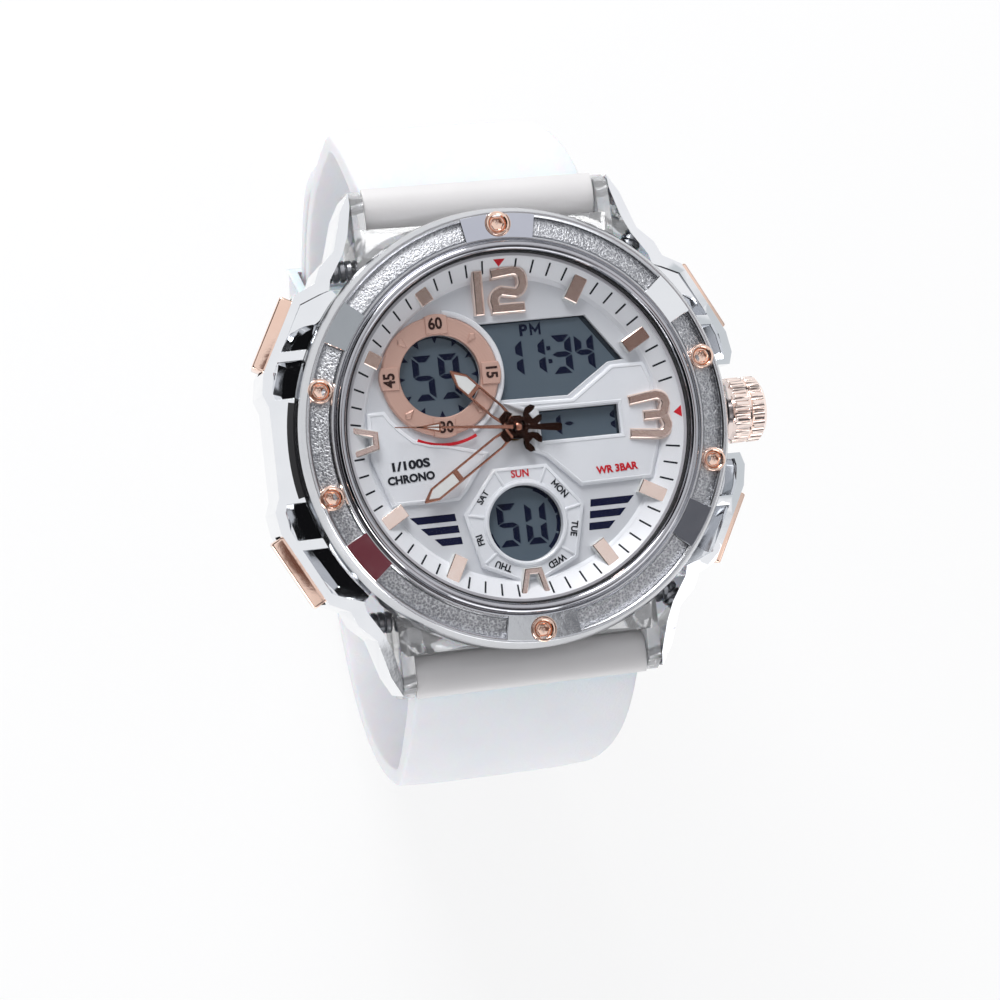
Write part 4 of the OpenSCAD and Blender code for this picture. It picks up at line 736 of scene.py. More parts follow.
@dataclass
class Guards:
    """The two chrome guards beside the case, with their recessed panels."""

    soft: float = 0.16
    start_z: float = 9.3
    fall: dict[int, float] = field(default_factory=lambda: {-1: 0.66, 1: 0.5})
    high_fall: float = 0.66
    low: float = 7.3
    start_r: float = 22.62
    low_panel: tuple[Point, ...] = ((22.04, 5.33), (23.86, 5.33), (24.06, 6.1), (23.77, 7.98), (23.26, 9.07),
        (20.75, 9.07), (21.4, 7.4), (21.75, 6.3))
    high_panel: tuple[Point, ...] = ((20.29, 10.13), (22.75, 10.13), (20.26, 14.77), (18.3, 15.57),
        (17.02, 15.96), (16.6, 15.4), (17.6, 14.24), (18.6, 12.92), (19.5, 11.52))
    dark_part: tuple[Point, ...] = ((20.29, 10.13), (22.75, 10.13), (22.3, 11.1), (21.5, 11.9), (20.4, 12.4),
        (19.1, 12.55), (19.5, 11.52))
    light_part: tuple[Point, ...] = ((19.02, 12.62), (20.42, 12.47), (21.55, 11.96), (22.36, 11.12),
        (22.6, 10.5), (20.26, 14.77), (18.3, 15.57), (17.02, 15.96), (16.6, 15.4), (17.6, 14.24),
        (18.6, 12.92))
    wave: float = 0.3
    light_lift: float = 0.3
    roof: float = 9.8
    slope: float = 0.3
    reflection_strip_width: float = 0.62
    reflection_strip_half: float = 12.2
    low_turn: float = 17.0
    high_turn: float = 36.0

    def floor(self, outline: Loop, turn: float, fall: float, start: float) -> Part:
        """Builds the flat floor of a panel, which falls outwards.

        Args:
            outline: the panel's outline.
            turn: the way in which it falls, counter-clockwise from +X in degrees.
            fall: how steeply it falls.
            start: its height beside the bezel.

        Returns:
            The closed part.
        """
        way = Vector((math.cos(math.radians(turn)), math.sin(math.radians(turn))))

        def drop(x: float, y: float) -> float:
            """Gives how much lower the floor is at a point."""
            return -fall * (way.x * abs(x) + way.y * abs(y) - self.start_r)

        return plate([outline], self.low, [(0, start - self.low)], drop)

    def build(self) -> None:
        """Builds both guards from the frame's own shapes, with rolled edges, mirror floors and a strip of
        painted dark reflection beside the bezel.
        """
        for side, sign in (("left", -1), ("right", 1)):
            piece = Piece(f"{side}_guard").add(node_copy(f"guard_{side}", 1.2), Finishes.CHROME)
            piece.build("case", "polished_steel", [f"guard_{side}"], bevel=self.soft, smooth=24, segments=3)
            floors = Piece(f"{side}_guard_floors")
            parts = [(self.low_panel, up, self.low_turn, self.fall[sign], self.start_z) for up in (-1, 1)]
            parts += [(self.high_panel, -1, self.high_turn, self.high_fall, self.start_z),
                (self.dark_part, 1, self.high_turn, self.high_fall, self.start_z),
                (self.light_part, 1, self.high_turn, self.wave, self.start_z + self.light_lift)]
            for outline, up, turn, fall, start in parts:
                loop = [(sign * x, up * y) for x, y in outline]
                floors.add(self.floor(loop, turn, fall, start), Finishes.CHROME)
            # Painted dark reflection: a thin black strip on the guard's top beside the bezel
            edge = [(r, self.roof - self.slope * (r - self.start_r) + z) for r, z in (
                (self.start_r, -0.1), (self.start_r + self.reflection_strip_width, -0.1), (self.start_r + self.reflection_strip_width, 0.02),
                (self.start_r, 0.02))]
            floors.add(lathe(edge, 180, 90 * sign - self.reflection_strip_half, 2 * self.reflection_strip_half), Finishes.DARK_REFLECTION_STRIP)
            floors.build("case", "polished_steel")


@dataclass
class Bezel:
    """The steel bezel, its blasted inlays and its six rose gold screws."""

    bore: float = 18.0
    seat: float = 19.05
    inner: float = 19.55
    outer: float = 21.5
    rim: float = 22.0
    wall: float = 22.6
    split: float = 9.0
    ledge: float = 13.2
    land: float = 13.9
    floor: float = 13.15
    shoulder: float = 12.6
    block_half: float = 10.5
    overlap: float = 0.32
    side_at: float = 55.8
    side_half: float = 6.2
    pitch: float = 20.75
    head_top: float = 14.0
    head_h: float = 1.1
    socket_r: float = 0.62
    rim_r: float = 1.28
    notch_r: float = 1.3
    inlay_h: float = 0.34
    inlay_fall: float = 0.13
    edge: float = 0.15
    screws: tuple[int, ...] = (0, 75, 105, 180, 255, 285)

    def blocks(self) -> list[Point]:
        """Gives the middle and the half angle of each smooth block."""
        side = self.side_at
        middles = (0.0, side, 180 - side, 180.0, 180 + side, 360 - side)
        return [(m, self.block_half if m % 180 == 0 else self.side_half) for m in middles]

    def body(self) -> None:
        """Turns the ring with its recess, then adds the smooth blocks and the screw collars."""
        e = self.edge
        piece = Piece("bezel_body")
        profile = [(self.bore, self.split), (self.wall - e, self.split), (self.wall, self.split + e),
            (self.wall, self.shoulder - e), (self.wall - 0.03, self.shoulder),
            (self.rim + 0.04, self.land - 0.1), (self.rim - 0.06, self.land),
            (self.outer + e, self.land), (self.outer, self.land - e),
            (self.outer, self.floor), (self.inner, self.floor), (self.inner, self.land - e),
            (self.inner - e, self.land), (self.seat + e, self.land), (self.seat, self.land - e),
            (self.seat, self.ledge), (self.bore, self.ledge)]
        piece.add(lathe(profile, 288), Finishes.SATIN_STEEL)
        for middle, half in self.blocks():
            steps = [-half + half * i / 8 for i in range(17)]
            outline = [clock(a, self.outer + self.overlap) for a in steps]
            if middle in self.screws:
                notch = [(self.notch_r * math.sin(math.radians(a)), self.pitch + self.notch_r * math.cos(
                    math.radians(a))) for a in range(-36, -325, -12)]
                outline = [p for p in outline if p[0] < -0.8] + notch + [p for p in outline if p[0] > 0.8]
            outline += [clock(a, self.inner - self.overlap) for a in steps[::-1]]
            piece.add(plate([turned(outline, middle)], self.floor - 0.05, [(0, self.land - self.floor),
                (0.07, 0.09)]), Finishes.POLISHED_STEEL)
        piece.build("case", "satin_steel", ["bezel"])

    def inlays(self) -> None:
        """Builds the blasted inlays between the smooth blocks."""
        piece = Piece("blasted_inlays")
        stops = self.blocks()
        for (a, half_a), (b, half_b) in zip(stops, [*stops[1:], (360.0, self.block_half)]):
            start = a + half_a + 0.1
            sweep = b - half_b - 0.1 - start
            top = self.floor + self.inlay_h
            low = top - self.inlay_fall
            high = top + self.inlay_fall
            profile = [(self.inner + 0.02, self.floor), (self.outer - 0.02, self.floor),
                (self.outer - 0.02, low - 0.06), (self.outer - 0.1, low), (self.inner + 0.1, high),
                (self.inner + 0.02, high - 0.06)]
            piece.add(lathe(profile, 360, start, sweep), Finishes.BLASTED_STEEL)
        piece.build("case", "blasted_steel", ["bezel_inlays"])

    def screw_heads(self) -> None:
        """Builds the screws: a rolled rim, a shallow step and a deep hexagon socket."""
        piece = Piece("bezel_screw_set")
        top = self.head_top
        low = top - self.head_h
        for angle in self.screws:
            at = clock(angle, self.pitch)
            rim = [(0.84, low), (self.rim_r, low), (self.rim_r, top - 0.16), (self.rim_r - 0.05, top - 0.04),
                (self.rim_r - 0.12, top + 0.02), (1.0, top + 0.03), (0.92, top - 0.04), (0.86, top - 0.42)]
            piece.add(lathe(rim, 48, centre=at), Finishes.ROSE_STEEL)
            socket = circle_loop(*at, self.socket_r, 6)
            disc = circle_loop(*at, 0.86, 36)
            piece.add(plate([disc, socket], low + 0.1, [(0, self.head_h - 0.5), (0.1, 0.12)]),
                Finishes.ROSE_STEEL)
            pin = [(0.0, low), (0.8, low), (0.8, low + 0.68), (0.45, low + 0.6), (0.0, low + 0.57)]
            piece.add(lathe(pin, 24, centre=at), Finishes.ROSE_STEEL)
            shank = [(0.0, self.split - 2.8), (0.45, self.split - 2.8), (0.55, self.split - 2.6),
                (0.55, low + 0.05), (0.0, low + 0.05)]
            piece.add(lathe(shank, 24, centre=at), Finishes.ROSE_STEEL)
        piece.build("case", "rose_steel", ["bezel_screws"])

    def build(self) -> None:
        """Builds the whole bezel."""
        self.body()
        self.inlays()
        self.screw_heads()


@dataclass
class Crystal:
    """The mineral glass with the rounded ring that holds it."""

    radius: float = 17.8
    low: float = 13.4
    high: float = 14.6
    edge: float = 0.2
    ring_bore: float = 18.0
    ring_r: float = 18.95
    ring_low: float = 13.2
    ring_high: float = 14.5

    def build(self) -> None:
        """Turns the glass and the rounded ring."""
        e = self.edge
        glass = [(0.0, self.low), (self.radius, self.low), (self.radius, self.high - e),
            (self.radius - e * 0.3, self.high - e * 0.3), (self.radius - e, self.high), (0.0, self.high)]
        Piece("glass_disc").add(lathe(glass, 144), Finishes.GLASS).build("case", "mineral_glass", ["crystal"])
        foot = self.ring_low + 0.02
        seat = self.low - 0.02
        crest = self.low + 0.5
        flange = box_loop(17.5, foot, 17.78, seat)
        sleeve = [(17.79, foot), (17.98, foot), (17.98, crest), (17.82, crest), (17.82, seat), (17.79, seat)]
        gasket = Piece("glass_gasket").add(lathe(flange, 240), Finishes.PALE_GASKET)
        gasket.add(lathe(sleeve, 240), Finishes.RUBBER)
        gasket.build("case", "black_rubber", ["crystal_gasket"])
        middle = (self.ring_bore + self.ring_r) / 2
        half = (self.ring_r - self.ring_bore) / 2
        rise = 0.42
        dome = [(middle + half * math.cos(math.radians(a)),
                 self.ring_high - rise + rise * math.sin(math.radians(a))) for a in range(0, 181, 15)]
        ring = [(self.ring_bore, self.ring_low), (self.ring_r, self.ring_low), *dome]
        Piece("glass_ring").add(lathe(ring, 288), Finishes.RING_STEEL).build(
            "case", "polished_steel", ["crystal_ring"], smooth=50)


@dataclass
class Track:
    """The sloped minute track with its ticks and its two red triangles."""

    low_r: float = 15.8
    high_r: float = 17.8
    base: float = 11.08
    low: float = 11.62
    high: float = 13.18
    tick_from: float = 16.05
    tick_to: float = 17.3
    tick_w: float = 0.21
    bare: tuple[int, ...] = (0, 14, 15, 16)

    def height(self, radius: float) -> float:
        """Gives the track's height at a radius."""
        share = (radius - self.low_r) / (self.high_r - self.low_r)
        return self.low + share * (self.high - self.low)

    def on_slope(self, angle: float, radius: float) -> Matrix:
        """Gives the place of a print on the track: X across, Y outwards and up the slope.

        Args:
            angle: the clock angle in degrees.
            radius: the distance from the middle.

        Returns:
            The place.
        """
        tilt = math.atan2(self.high - self.low, self.high_r - self.low_r)
        x, y = clock(angle, radius)
        return (Matrix.Translation((x, y, self.height(radius))) @ spun(-angle)
            @ Matrix.Rotation(tilt, 4, "X"))

    def build(self) -> None:
        """Builds the sloped ring, the ticks and the triangles."""
        lip = self.high_r + 0.15
        foot = self.low_r - 0.42
        profile = [(foot, self.base), (lip, self.base), (lip, self.high), (self.high_r, self.high),
            (self.low_r + 0.06, self.height(self.low_r + 0.06) + 0.02), (self.low_r, self.low),
            (self.low_r - 0.06, self.low - 0.02), (foot + 0.06, self.base + 0.1)]
        Piece("sloped_track").add(lathe(profile, 240), Finishes.WHITE_TRACK).build(
            "case", "dial_white", ["minute_track"], smooth=25)
        print_h = 0.02
        ticks = Piece("minute_ticks")
        middle = (self.tick_from + self.tick_to) / 2
        slope = math.hypot(1, (self.high - self.low) / (self.high_r - self.low_r))
        half = (self.tick_to - self.tick_from) / 2 * slope
        for minute in range(60):
            if minute % 5 == 0 or minute in self.bare:
                continue
            bar = plate([box_loop(-self.tick_w / 2, -half, self.tick_w / 2, half)], 0, [(0.01, print_h)])
            ticks.add(bar, Finishes.BLACK_INK, self.on_slope(6 * minute, middle))
        ticks.build("case", "dial_white")
        marks = Piece("red_triangles")
        for angle, radius in ((0.0, 16.95), (90.0, 17.15)):
            mark = plate([[(-0.62, 0.42), (0.0, -0.5), (0.62, 0.42)]], 0, [(0.01, print_h)])
            marks.add(mark, Finishes.RED_INK, self.on_slope(angle, radius))
        marks.build("case", "dial_white")


def print_words(
    piece: Piece, text: str, height: float, at: Point, z: float, finish: Finish,
    angle: float = 0.0, bold: float = 0.03, squeeze: float = 1.0, depth: float = 0.03
) -> None:
    """Adds printed words to a piece.

    Args:
        piece: the piece that takes them.
        text: the words.
        height: the height of a capital in millimetres.
        at: where their middle stands.
        z: the height of the surface.
        finish: the ink.
        angle: how far they turn clockwise, in degrees.
        bold: the extra width of each stroke.
        squeeze: the width of the letters, where 1 is the font's own.
        depth: how high the ink stands.
    """
    place = Matrix.Translation((at[0], at[1], z)) @ spun(-angle)
    piece.add(lettering(text, height, depth, bold, squeeze), finish, place)


def print_m(
    piece: Piece, height: float, at: Point, z: float, finish: Finish, angle: float, depth: float
) -> None:
    """Adds a printed M with open middle, which the font draws too dense.

    Args:
        piece: the piece that takes it.
        height: its height in millimetres.
        at: where its middle stands.
        z: the height of the surface.
        finish: the ink.
        angle: how far it turns clockwise, in degrees.
        depth: how high the ink stands.
    """
    half = 0.41 * height
    path = [(-half, -height / 2), (-half, height * 0.42), (0.0, -height * 0.12), (half, height * 0.42),
        (half, -height / 2)]
    loop = turned(band_loop(path, height * 0.21), angle, at)
    piece.add(plate([loop], z, [(0, depth)]), finish)


@dataclass
class Dial:
    """The white dial with its raised frames, words and coloured bars."""

    level: float = DIAL_LEVEL
    under: float = 10.7
    edge_r: float = 17.9
    relief: float = 0.45
    sub: Point = SECONDS_AT
    sub_r: float = SECONDS_R
    sub_cut: float = 6.8
    day: Point = WEEKDAY_AT
    day_r: float = WEEKDAY_R
    day_corner: float = 6.5
    day_high: float = 0.55
    pipe_hole: float = 1.25
    ink: float = 0.02
    chamfer: float = 0.08
    right: tuple[Point, ...] = ((-0.9, 2.6), (6.4, 2.5), (10.9, 5.6), (14.4, 5.6), (15.2, 3.4), (15.3, -2.6),
        (14.1, -6.5), (6.3, -6.6), (2.9, -3.2), (1.6, -2.6), (1.6, -1.05), (1.9, 0.0), (1.6, 1.05),
        (1.2, 1.5))
    left: tuple[Point, ...] = ((-15.2, 2.9), (-13.35, 2.95), (-12.75, 2.0), (-11.9, 1.0), (-10.6, -0.2),
        (-8.9, -0.75), (-7.2, -1.0), (-3.0, -2.2), (-5.6, -5.8), (-6.6, -6.8), (-13.6, -6.8), (-15.2, -2.0))

    def time_window(self) -> list[Point]:
        """Gives the outline of the large window, whose left side follows the small seconds dial."""
        arc = [math.radians(a) for a in (46.7, 37, 27, 17, 7, -3, -13, -20, -26.2)]
        side = [(self.sub[0] + self.sub_cut * math.cos(a), self.sub[1] + self.sub_cut * math.sin(a))
            for a in arc]
        return [*side, (6.1, 2.9), (10.7, 5.95), (12.4, 6.1), (8.8, 11.0)]

    @staticmethod
    def date_window() -> list[Point]:
        """Gives the outline of the date window."""
        return box_loop(2.7, -1.6, 11.2, 1.5)

    def plate(self) -> None:
        """Builds the dial plate with its four windows, each with a bright chamfer."""
        windows = [self.time_window(), self.date_window(), circle_loop(*self.sub, self.sub_r),
            circle_loop(*self.day, self.day_r), circle_loop(0, 0, self.pipe_hole, 48)]
        part = plate([circle_loop(0, 0, self.edge_r, 180), *windows], self.under,
            [(0, self.level - self.under - self.chamfer), (self.chamfer, self.chamfer)])
        piece = Piece("dial_disc").add(part, Finishes.WHITE_DIAL)
        band = [(6.2, self.level - 0.05), (self.sub_cut - 0.02, self.level - 0.05),
            (self.sub_cut - 0.02, self.level + 0.16), (self.sub_cut - 0.14, self.level + 0.3),
            (self.sub_cut - 0.32, self.level + 0.32), (6.2, self.level + 0.2)]
        piece.add(lathe(band, 180, 8, 146, self.sub), Finishes.WHITE_EDGE)
        piece.build("case", "dial_white", ["dial_plate"])

    def frames(self) -> None:
        """Builds the raised frames with a bright rounded border and a sunk middle."""
        piece = Piece("dial_frames")
        rise = [(0, self.relief - 0.16), (0.16, 0.14), (0.2, 0.02), (0.07, -0.07)]
        piece.add(plate([self.right, self.date_window()], self.level, rise), Finishes.WHITE_EDGE)
        piece.add(plate([self.left], self.level, rise), Finishes.WHITE_EDGE)
        piece.build("case", "dial_white", ["dial_relief"], smooth=40)

    def weekday(self) -> None:
        """Builds the seven sided frame: a rim, seven panels with dividers and the round window."""
        top = self.level + self.day_high
        corners = [clock(360 / 7 * (i + 0.5), self.day_corner) for i in range(7)]
        outline = [(x, y + self.day[1]) for x, y in corners]
        outline[3:4] = [(1.37, -15.64), (-1.37, -15.64)]
        part = plate([outline, circle_loop(*self.day, self.day_r + 0.2)], self.level,
            [(0, self.day_high - 0.16), (0.2, 0.14), (0.12, 0.02), (0.07, -0.1)])
        piece = Piece("weekday_panels").add(part, Finishes.WHITE_EDGE)
        r = self.day_r
        z = self.level
        ring = [(r, z), (r + 0.45, z), (r + 0.45, z + 0.6), (r + 0.36, z + 0.72), (r + 0.2, z + 0.75),
            (r, z + 0.6)]
        piece.add(lathe(ring, 120, centre=self.day), Finishes.WHITE_EDGE)
        for i in (0, 1, 2, 4, 5, 6):
            angle = 360 / 7 * (i + 0.5)
            reach = 5.9 if i in (2, 4) else 6.2
            bar = plate([box_loop(-0.14, 4.3, 0.14, reach)], top - 0.12, [(0, 0.1), (0.06, 0.05)])
            place = Matrix.Translation((self.day[0], self.day[1], 0)) @ spun(-angle)
            piece.add(bar, Finishes.WHITE_EDGE, place)
        piece.build("case", "dial_white", ["weekday_frame"], smooth=40)
        words = Piece("weekday_words")
        places = ((-0.05, -4.72), (3.9, -6.62), (4.98, -10.85), (2.78, -14.0), (-2.84, -13.93),
            (-4.95, -11.06), (-4.2, -6.75))
        for i, word in enumerate(("SUN", "MON", "TUE", "WED", "THU", "FRI", "SAT")):
            finish = Finishes.RED_INK if i == 0 else Finishes.BLACK_INK
            x, y = places[i]
            turn = 360 / 7 * i
            if word == "MON":
                back = turned([(-0.66, 0.0), (0.4, 0.0)], turn, (x, y))
                print_m(words, 0.62, back[0], top - 0.09, finish, turn, self.ink + 0.01)
                word = "ON"
                x, y = back[1]
            print_words(words, word, 0.74 if i == 0 else 0.66, (x, y), top - 0.09, finish, turn,
                bold=0.028, squeeze=0.92)
        words.build("case", "dial_white")

    def prints(self) -> None:
        """Builds the plain words and the coloured bars on the dial."""
        frame_top = self.level + self.relief - 0.05
        words = Piece("dial_words")
        for text, height, at, ink, turn, bold, squeeze in (
                ("1/100S", 0.82, (-11.35, -2.75), Finishes.BLACK_INK, -3, 0.05, 1.28),
                ("CHRONO", 0.76, (-11.35, -4.1), Finishes.BLACK_INK, -3, 0.05, 1.0),
                ("WR 3BAR", 0.72, (10.3, -5.15), Finishes.RED_INK, -2, 0.04, 0.98)):
            print_words(words, text, height, at, frame_top, ink, turn, bold, squeeze)
        arc = box_loop(6.86, frame_top + 0.005, 7.18, frame_top + 0.03)
        words.add(lathe(arc, 240, 154, 52, self.sub), Finishes.RED_INK)
        words.build("case", "dial_white")
        bars = Piece("navy_bars")
        for side in (-1, 1):
            for i, (inner, outer) in enumerate(((7.1, 11.9), (6.9, 10.9), (6.7, 9.6))):
                y = -8.45 - 1.2 * i
                loop = [(side * inner, y - 0.38), (side * (outer - 0.75), y - 0.38), (side * outer, y + 0.38),
                    (side * (inner + 0.1), y + 0.38)]
                bars.add(plate([loop], self.level, [(0.02, self.ink)]), Finishes.NAVY_INK)
        bars.build("case", "dial_white")

    def build(self) -> None:
        """Builds the whole dial."""
        self.plate()
        self.frames()
        self.weekday()
        self.prints()


@dataclass
class SecondsDial:
    """The rose ring round the small seconds window, with its tabs, numbers and arrows."""

    middle: Point = SECONDS_AT
    level: float = DIAL_LEVEL
    high: float = 0.5
    tab_high: float = 0.7
    arrow_r: float = 5.25
    word_r: float = 5.3
    bore: float = SECONDS_R
    outer: float = 6.1
    tab: float = 2.3
    tab_turn: float = 1.5

    def build(self) -> None:
        """Builds the grained ring, its tabs, the raised arrows and the numbers."""
        low = self.level - 0.02
        top = self.level + self.high
        e = 0.08
        ring = [(self.bore, low), (self.outer, low), (self.outer, top - 0.16), (self.outer - 0.16, top),
            (self.bore + e, top), (self.bore, top - e)]
        piece = Piece("rose_seconds_ring").add(lathe(ring, 180, centre=self.middle), Finishes.ROSE_DIAL)
        for angle in (0, 90, 180, 270):
            half = self.tab / 2
            inner = self.bore + 0.1
            arc = [(-half, inner), (half, inner), (half, self.outer + 0.02), (half * 0.5, self.outer + 0.2),
                (0.0, self.outer + 0.25), (-half * 0.5, self.outer + 0.2), (-half, self.outer + 0.02)]
            piece.add(plate([turned(arc, angle + self.tab_turn, self.middle)], low,
                [(0, self.tab_high - 0.06), (0.07, 0.07)]), Finishes.ROSE_DIAL)
        for angle in (45, 135, 225, 315):
            kite = [(0.0, -0.85), (0.42, 0.12), (0.0, 0.5), (-0.42, 0.12)]
            x, y = clock(angle, self.arrow_r)
            shift = (self.middle[0] + x, self.middle[1] + y)
            piece.add(plate([turned(kite, angle, shift)], top - 0.02, [(0.0, 0.1), (0.14, 0.12)]),
                Finishes.ROSE_DIAL)
        piece.build("case", "rose_dial", ["seconds_ring"])
        words = Piece("seconds_numbers")
        for word, angle, turn in (("60", 0, -2), ("15", 90, 90), ("30", 180, 0), ("45", 270, 270)):
            x, y = clock(angle, self.word_r)
            at = (self.middle[0] + x, self.middle[1] + y)
            print_words(words, word, 1.12, at, self.level + self.tab_high, Finishes.BROWN_INK, turn,
                bold=0.05, squeeze=0.92)
        words.build("case", "rose_dial")


@dataclass
class Displays:
    """What the liquid crystal panel shows in its four windows."""

    level: float = 10.65
    lift: float = 0.012
    gap: float = 0.1
    shadow: Point = (0.09, -0.07)
    sub: Point = SECONDS_AT
    sub_r: float = SECONDS_R
    day: Point = WEEKDAY_AT
    day_r: float = WEEKDAY_R
    # The segments that each sign lights: a is the top one, then clockwise, g the middle
    segments: dict[str, str] = field(default_factory=lambda: {"1": "bc", "3": "abcdg", "4": "bcfg",
        "5": "acdfg", "9": "abcdfg", "S": "acdfg", "U": "bcdef", "-": "g"})

    def sign(self, letter: str, size: Point, thick: float) -> list[list[Point]]:
        """Gives the outlines of a sign's lit segments.

        Args:
            letter: the sign.
            size: its width and height in millimetres.
            thick: the thickness of a segment.

        Returns:
            One outline for each segment, about the sign's lower left corner.
        """
        w, h = size
        t = thick
        gap = self.gap
        mid = h / 2
        upright = [(0.0, mid + gap), (0.0, h - 2.2 * gap), (t, h - t - 1.2 * gap), (t, mid + gap + 0.5 * t)]
        level = [(gap, h), (w - 1.6 * gap, h), (w - t - 1.2 * gap, h - t), (t + 0.4 * gap, h - t)]
        outlines = {"a": level, "d": [(x, h - y) for x, y in level], "f": upright,
            "e": [(x, h - y) for x, y in upright], "b": [(w - x, y) for x, y in upright],
            "c": [(w - x, h - y) for x, y in upright],
            "g": [(0.8 * gap, mid), (0.85 * t, mid + 0.38 * t), (w - 0.85 * t, mid + 0.38 * t),
                (w - 0.8 * gap, mid), (w - 0.85 * t, mid - 0.38 * t), (0.85 * t, mid - 0.38 * t)]}
        return [outlines[name] for name in self.segments[letter]]

    def show(self, piece: Piece, letter: str, at: Point, size: Point, thick: float) -> None:
        """Adds a sign and the shadow that it throws on the mirror behind it.

        Args:
            piece: the piece that takes it.
            letter: the sign.
            at: its lower left corner.
            size: its width and height.
            thick: the thickness of a segment.
        """
        for loop in self.sign(letter, size, thick):
            low = [(x + at[0] + self.shadow[0], y + at[1] + self.shadow[1]) for x, y in loop]
            lit = [(x + at[0], y + at[1]) for x, y in loop]
            piece.add(plate([low], self.level, [(0, 0.004)]), Finishes.SEGMENT_SHADOW)
            piece.add(plate([lit], self.level, [(0, self.lift)]), Finishes.SEGMENT)

    def build(self) -> None:
        """Builds the time, the date, the small seconds and the weekday."""
        piece = Piece("lit_segments")
        for letter, x, wide in (("1", 0.5, 1.35), ("1", 2.9, 1.35), ("3", 4.95, 2.15), ("4", 7.5, 2.0)):
            self.show(piece, letter, (x, 5.2), (wide, 4.0), 0.7)
        for x, y in ((4.55, 6.35), (4.48, 7.7)):
            piece.add(plate([box_loop(x, y, x + 0.42, y + 0.45)], self.level, [(0, self.lift)]),
                Finishes.SEGMENT)
        print_words(piece, "P", 1.12, (2.2, 9.95), self.level, Finishes.SEGMENT, 0, 0.065, 1.05, self.lift)
        print_m(piece, 1.12, (3.5, 9.98), self.level, Finishes.SEGMENT, 0, self.lift)
        for letter, at, size, thick in (("1", (4.15, -1.3), (0.95, 2.5), 0.48),
                ("-", (5.4, -1.2), (1.15, 2.4), 0.5), ("1", (9.95, -1.2), (0.95, 2.4), 0.48)):
            self.show(piece, letter, at, size, thick)
        for letter, middle, left, half in (("5", self.sub, -2.6, 2.3), ("9", self.sub, 0.1, 2.3),
                ("S", self.day, -2.75, 2.2), ("U", self.day, 0.2, 2.2)):
            self.show(piece, letter, (middle[0] + left, middle[1] - half), (2.15, 2 * half), 0.64)
        for i in range(12):
            wedge = [(-0.34, 0.75), (0.0, 0.0), (0.34, 0.75)]
            x, y = clock(30 * i, self.sub_r - 0.75)
            piece.add(plate([turned(wedge, 30 * i, (self.sub[0] + x, self.sub[1] + y))], self.level,
                [(0, self.lift)]), Finishes.SEGMENT)
        for start in (22, 52, 82, 112, 232):
            arc = box_loop(self.day_r - 0.42, self.level, self.day_r - 0.05, self.level + self.lift)
            piece.add(lathe(arc, 180, start, 26, self.day), Finishes.SEGMENT)
        piece.build("case", "lcd_glass")
        self.window_shade_strips()

    def window_shade_strips(self) -> None:
        """Builds painted shade: dark strips on the panel along two sides of each window, where the window's
        wall shades it.
        """
        piece = Piece("painted_window_shade")
        # Painted shade: strips along the top and the right side of the time and date windows
        strips = (
            [(-2.6, 10.82), (8.7, 10.87), (8.75, 11.2), (-2.8, 11.2)],
            [(8.25, 10.87), (11.75, 6.1), (12.7, 6.1), (9.1, 11.2)],
            box_loop(2.6, 1.38, 11.0, 1.8),
            box_loop(10.95, -1.8, 11.5, 1.8),
        )
        for strip in strips:
            piece.add(plate([strip], self.level, [(0, self.lift * 0.5)]), Finishes.WINDOW_SHADE)
        # Painted shade in the round windows: a ring with its hole shifted, so the ring is widest on the upper
        # right
        for (x, y), radius in ((self.sub, self.sub_r), (self.day, self.day_r)):
            piece.add(plate([circle_loop(x, y, radius + 0.3), circle_loop(x - 0.2, y - 0.2, radius)],
                self.level, [(0, self.lift * 0.5)]), Finishes.WINDOW_SHADE)
        piece.build("case", "lcd_glass")


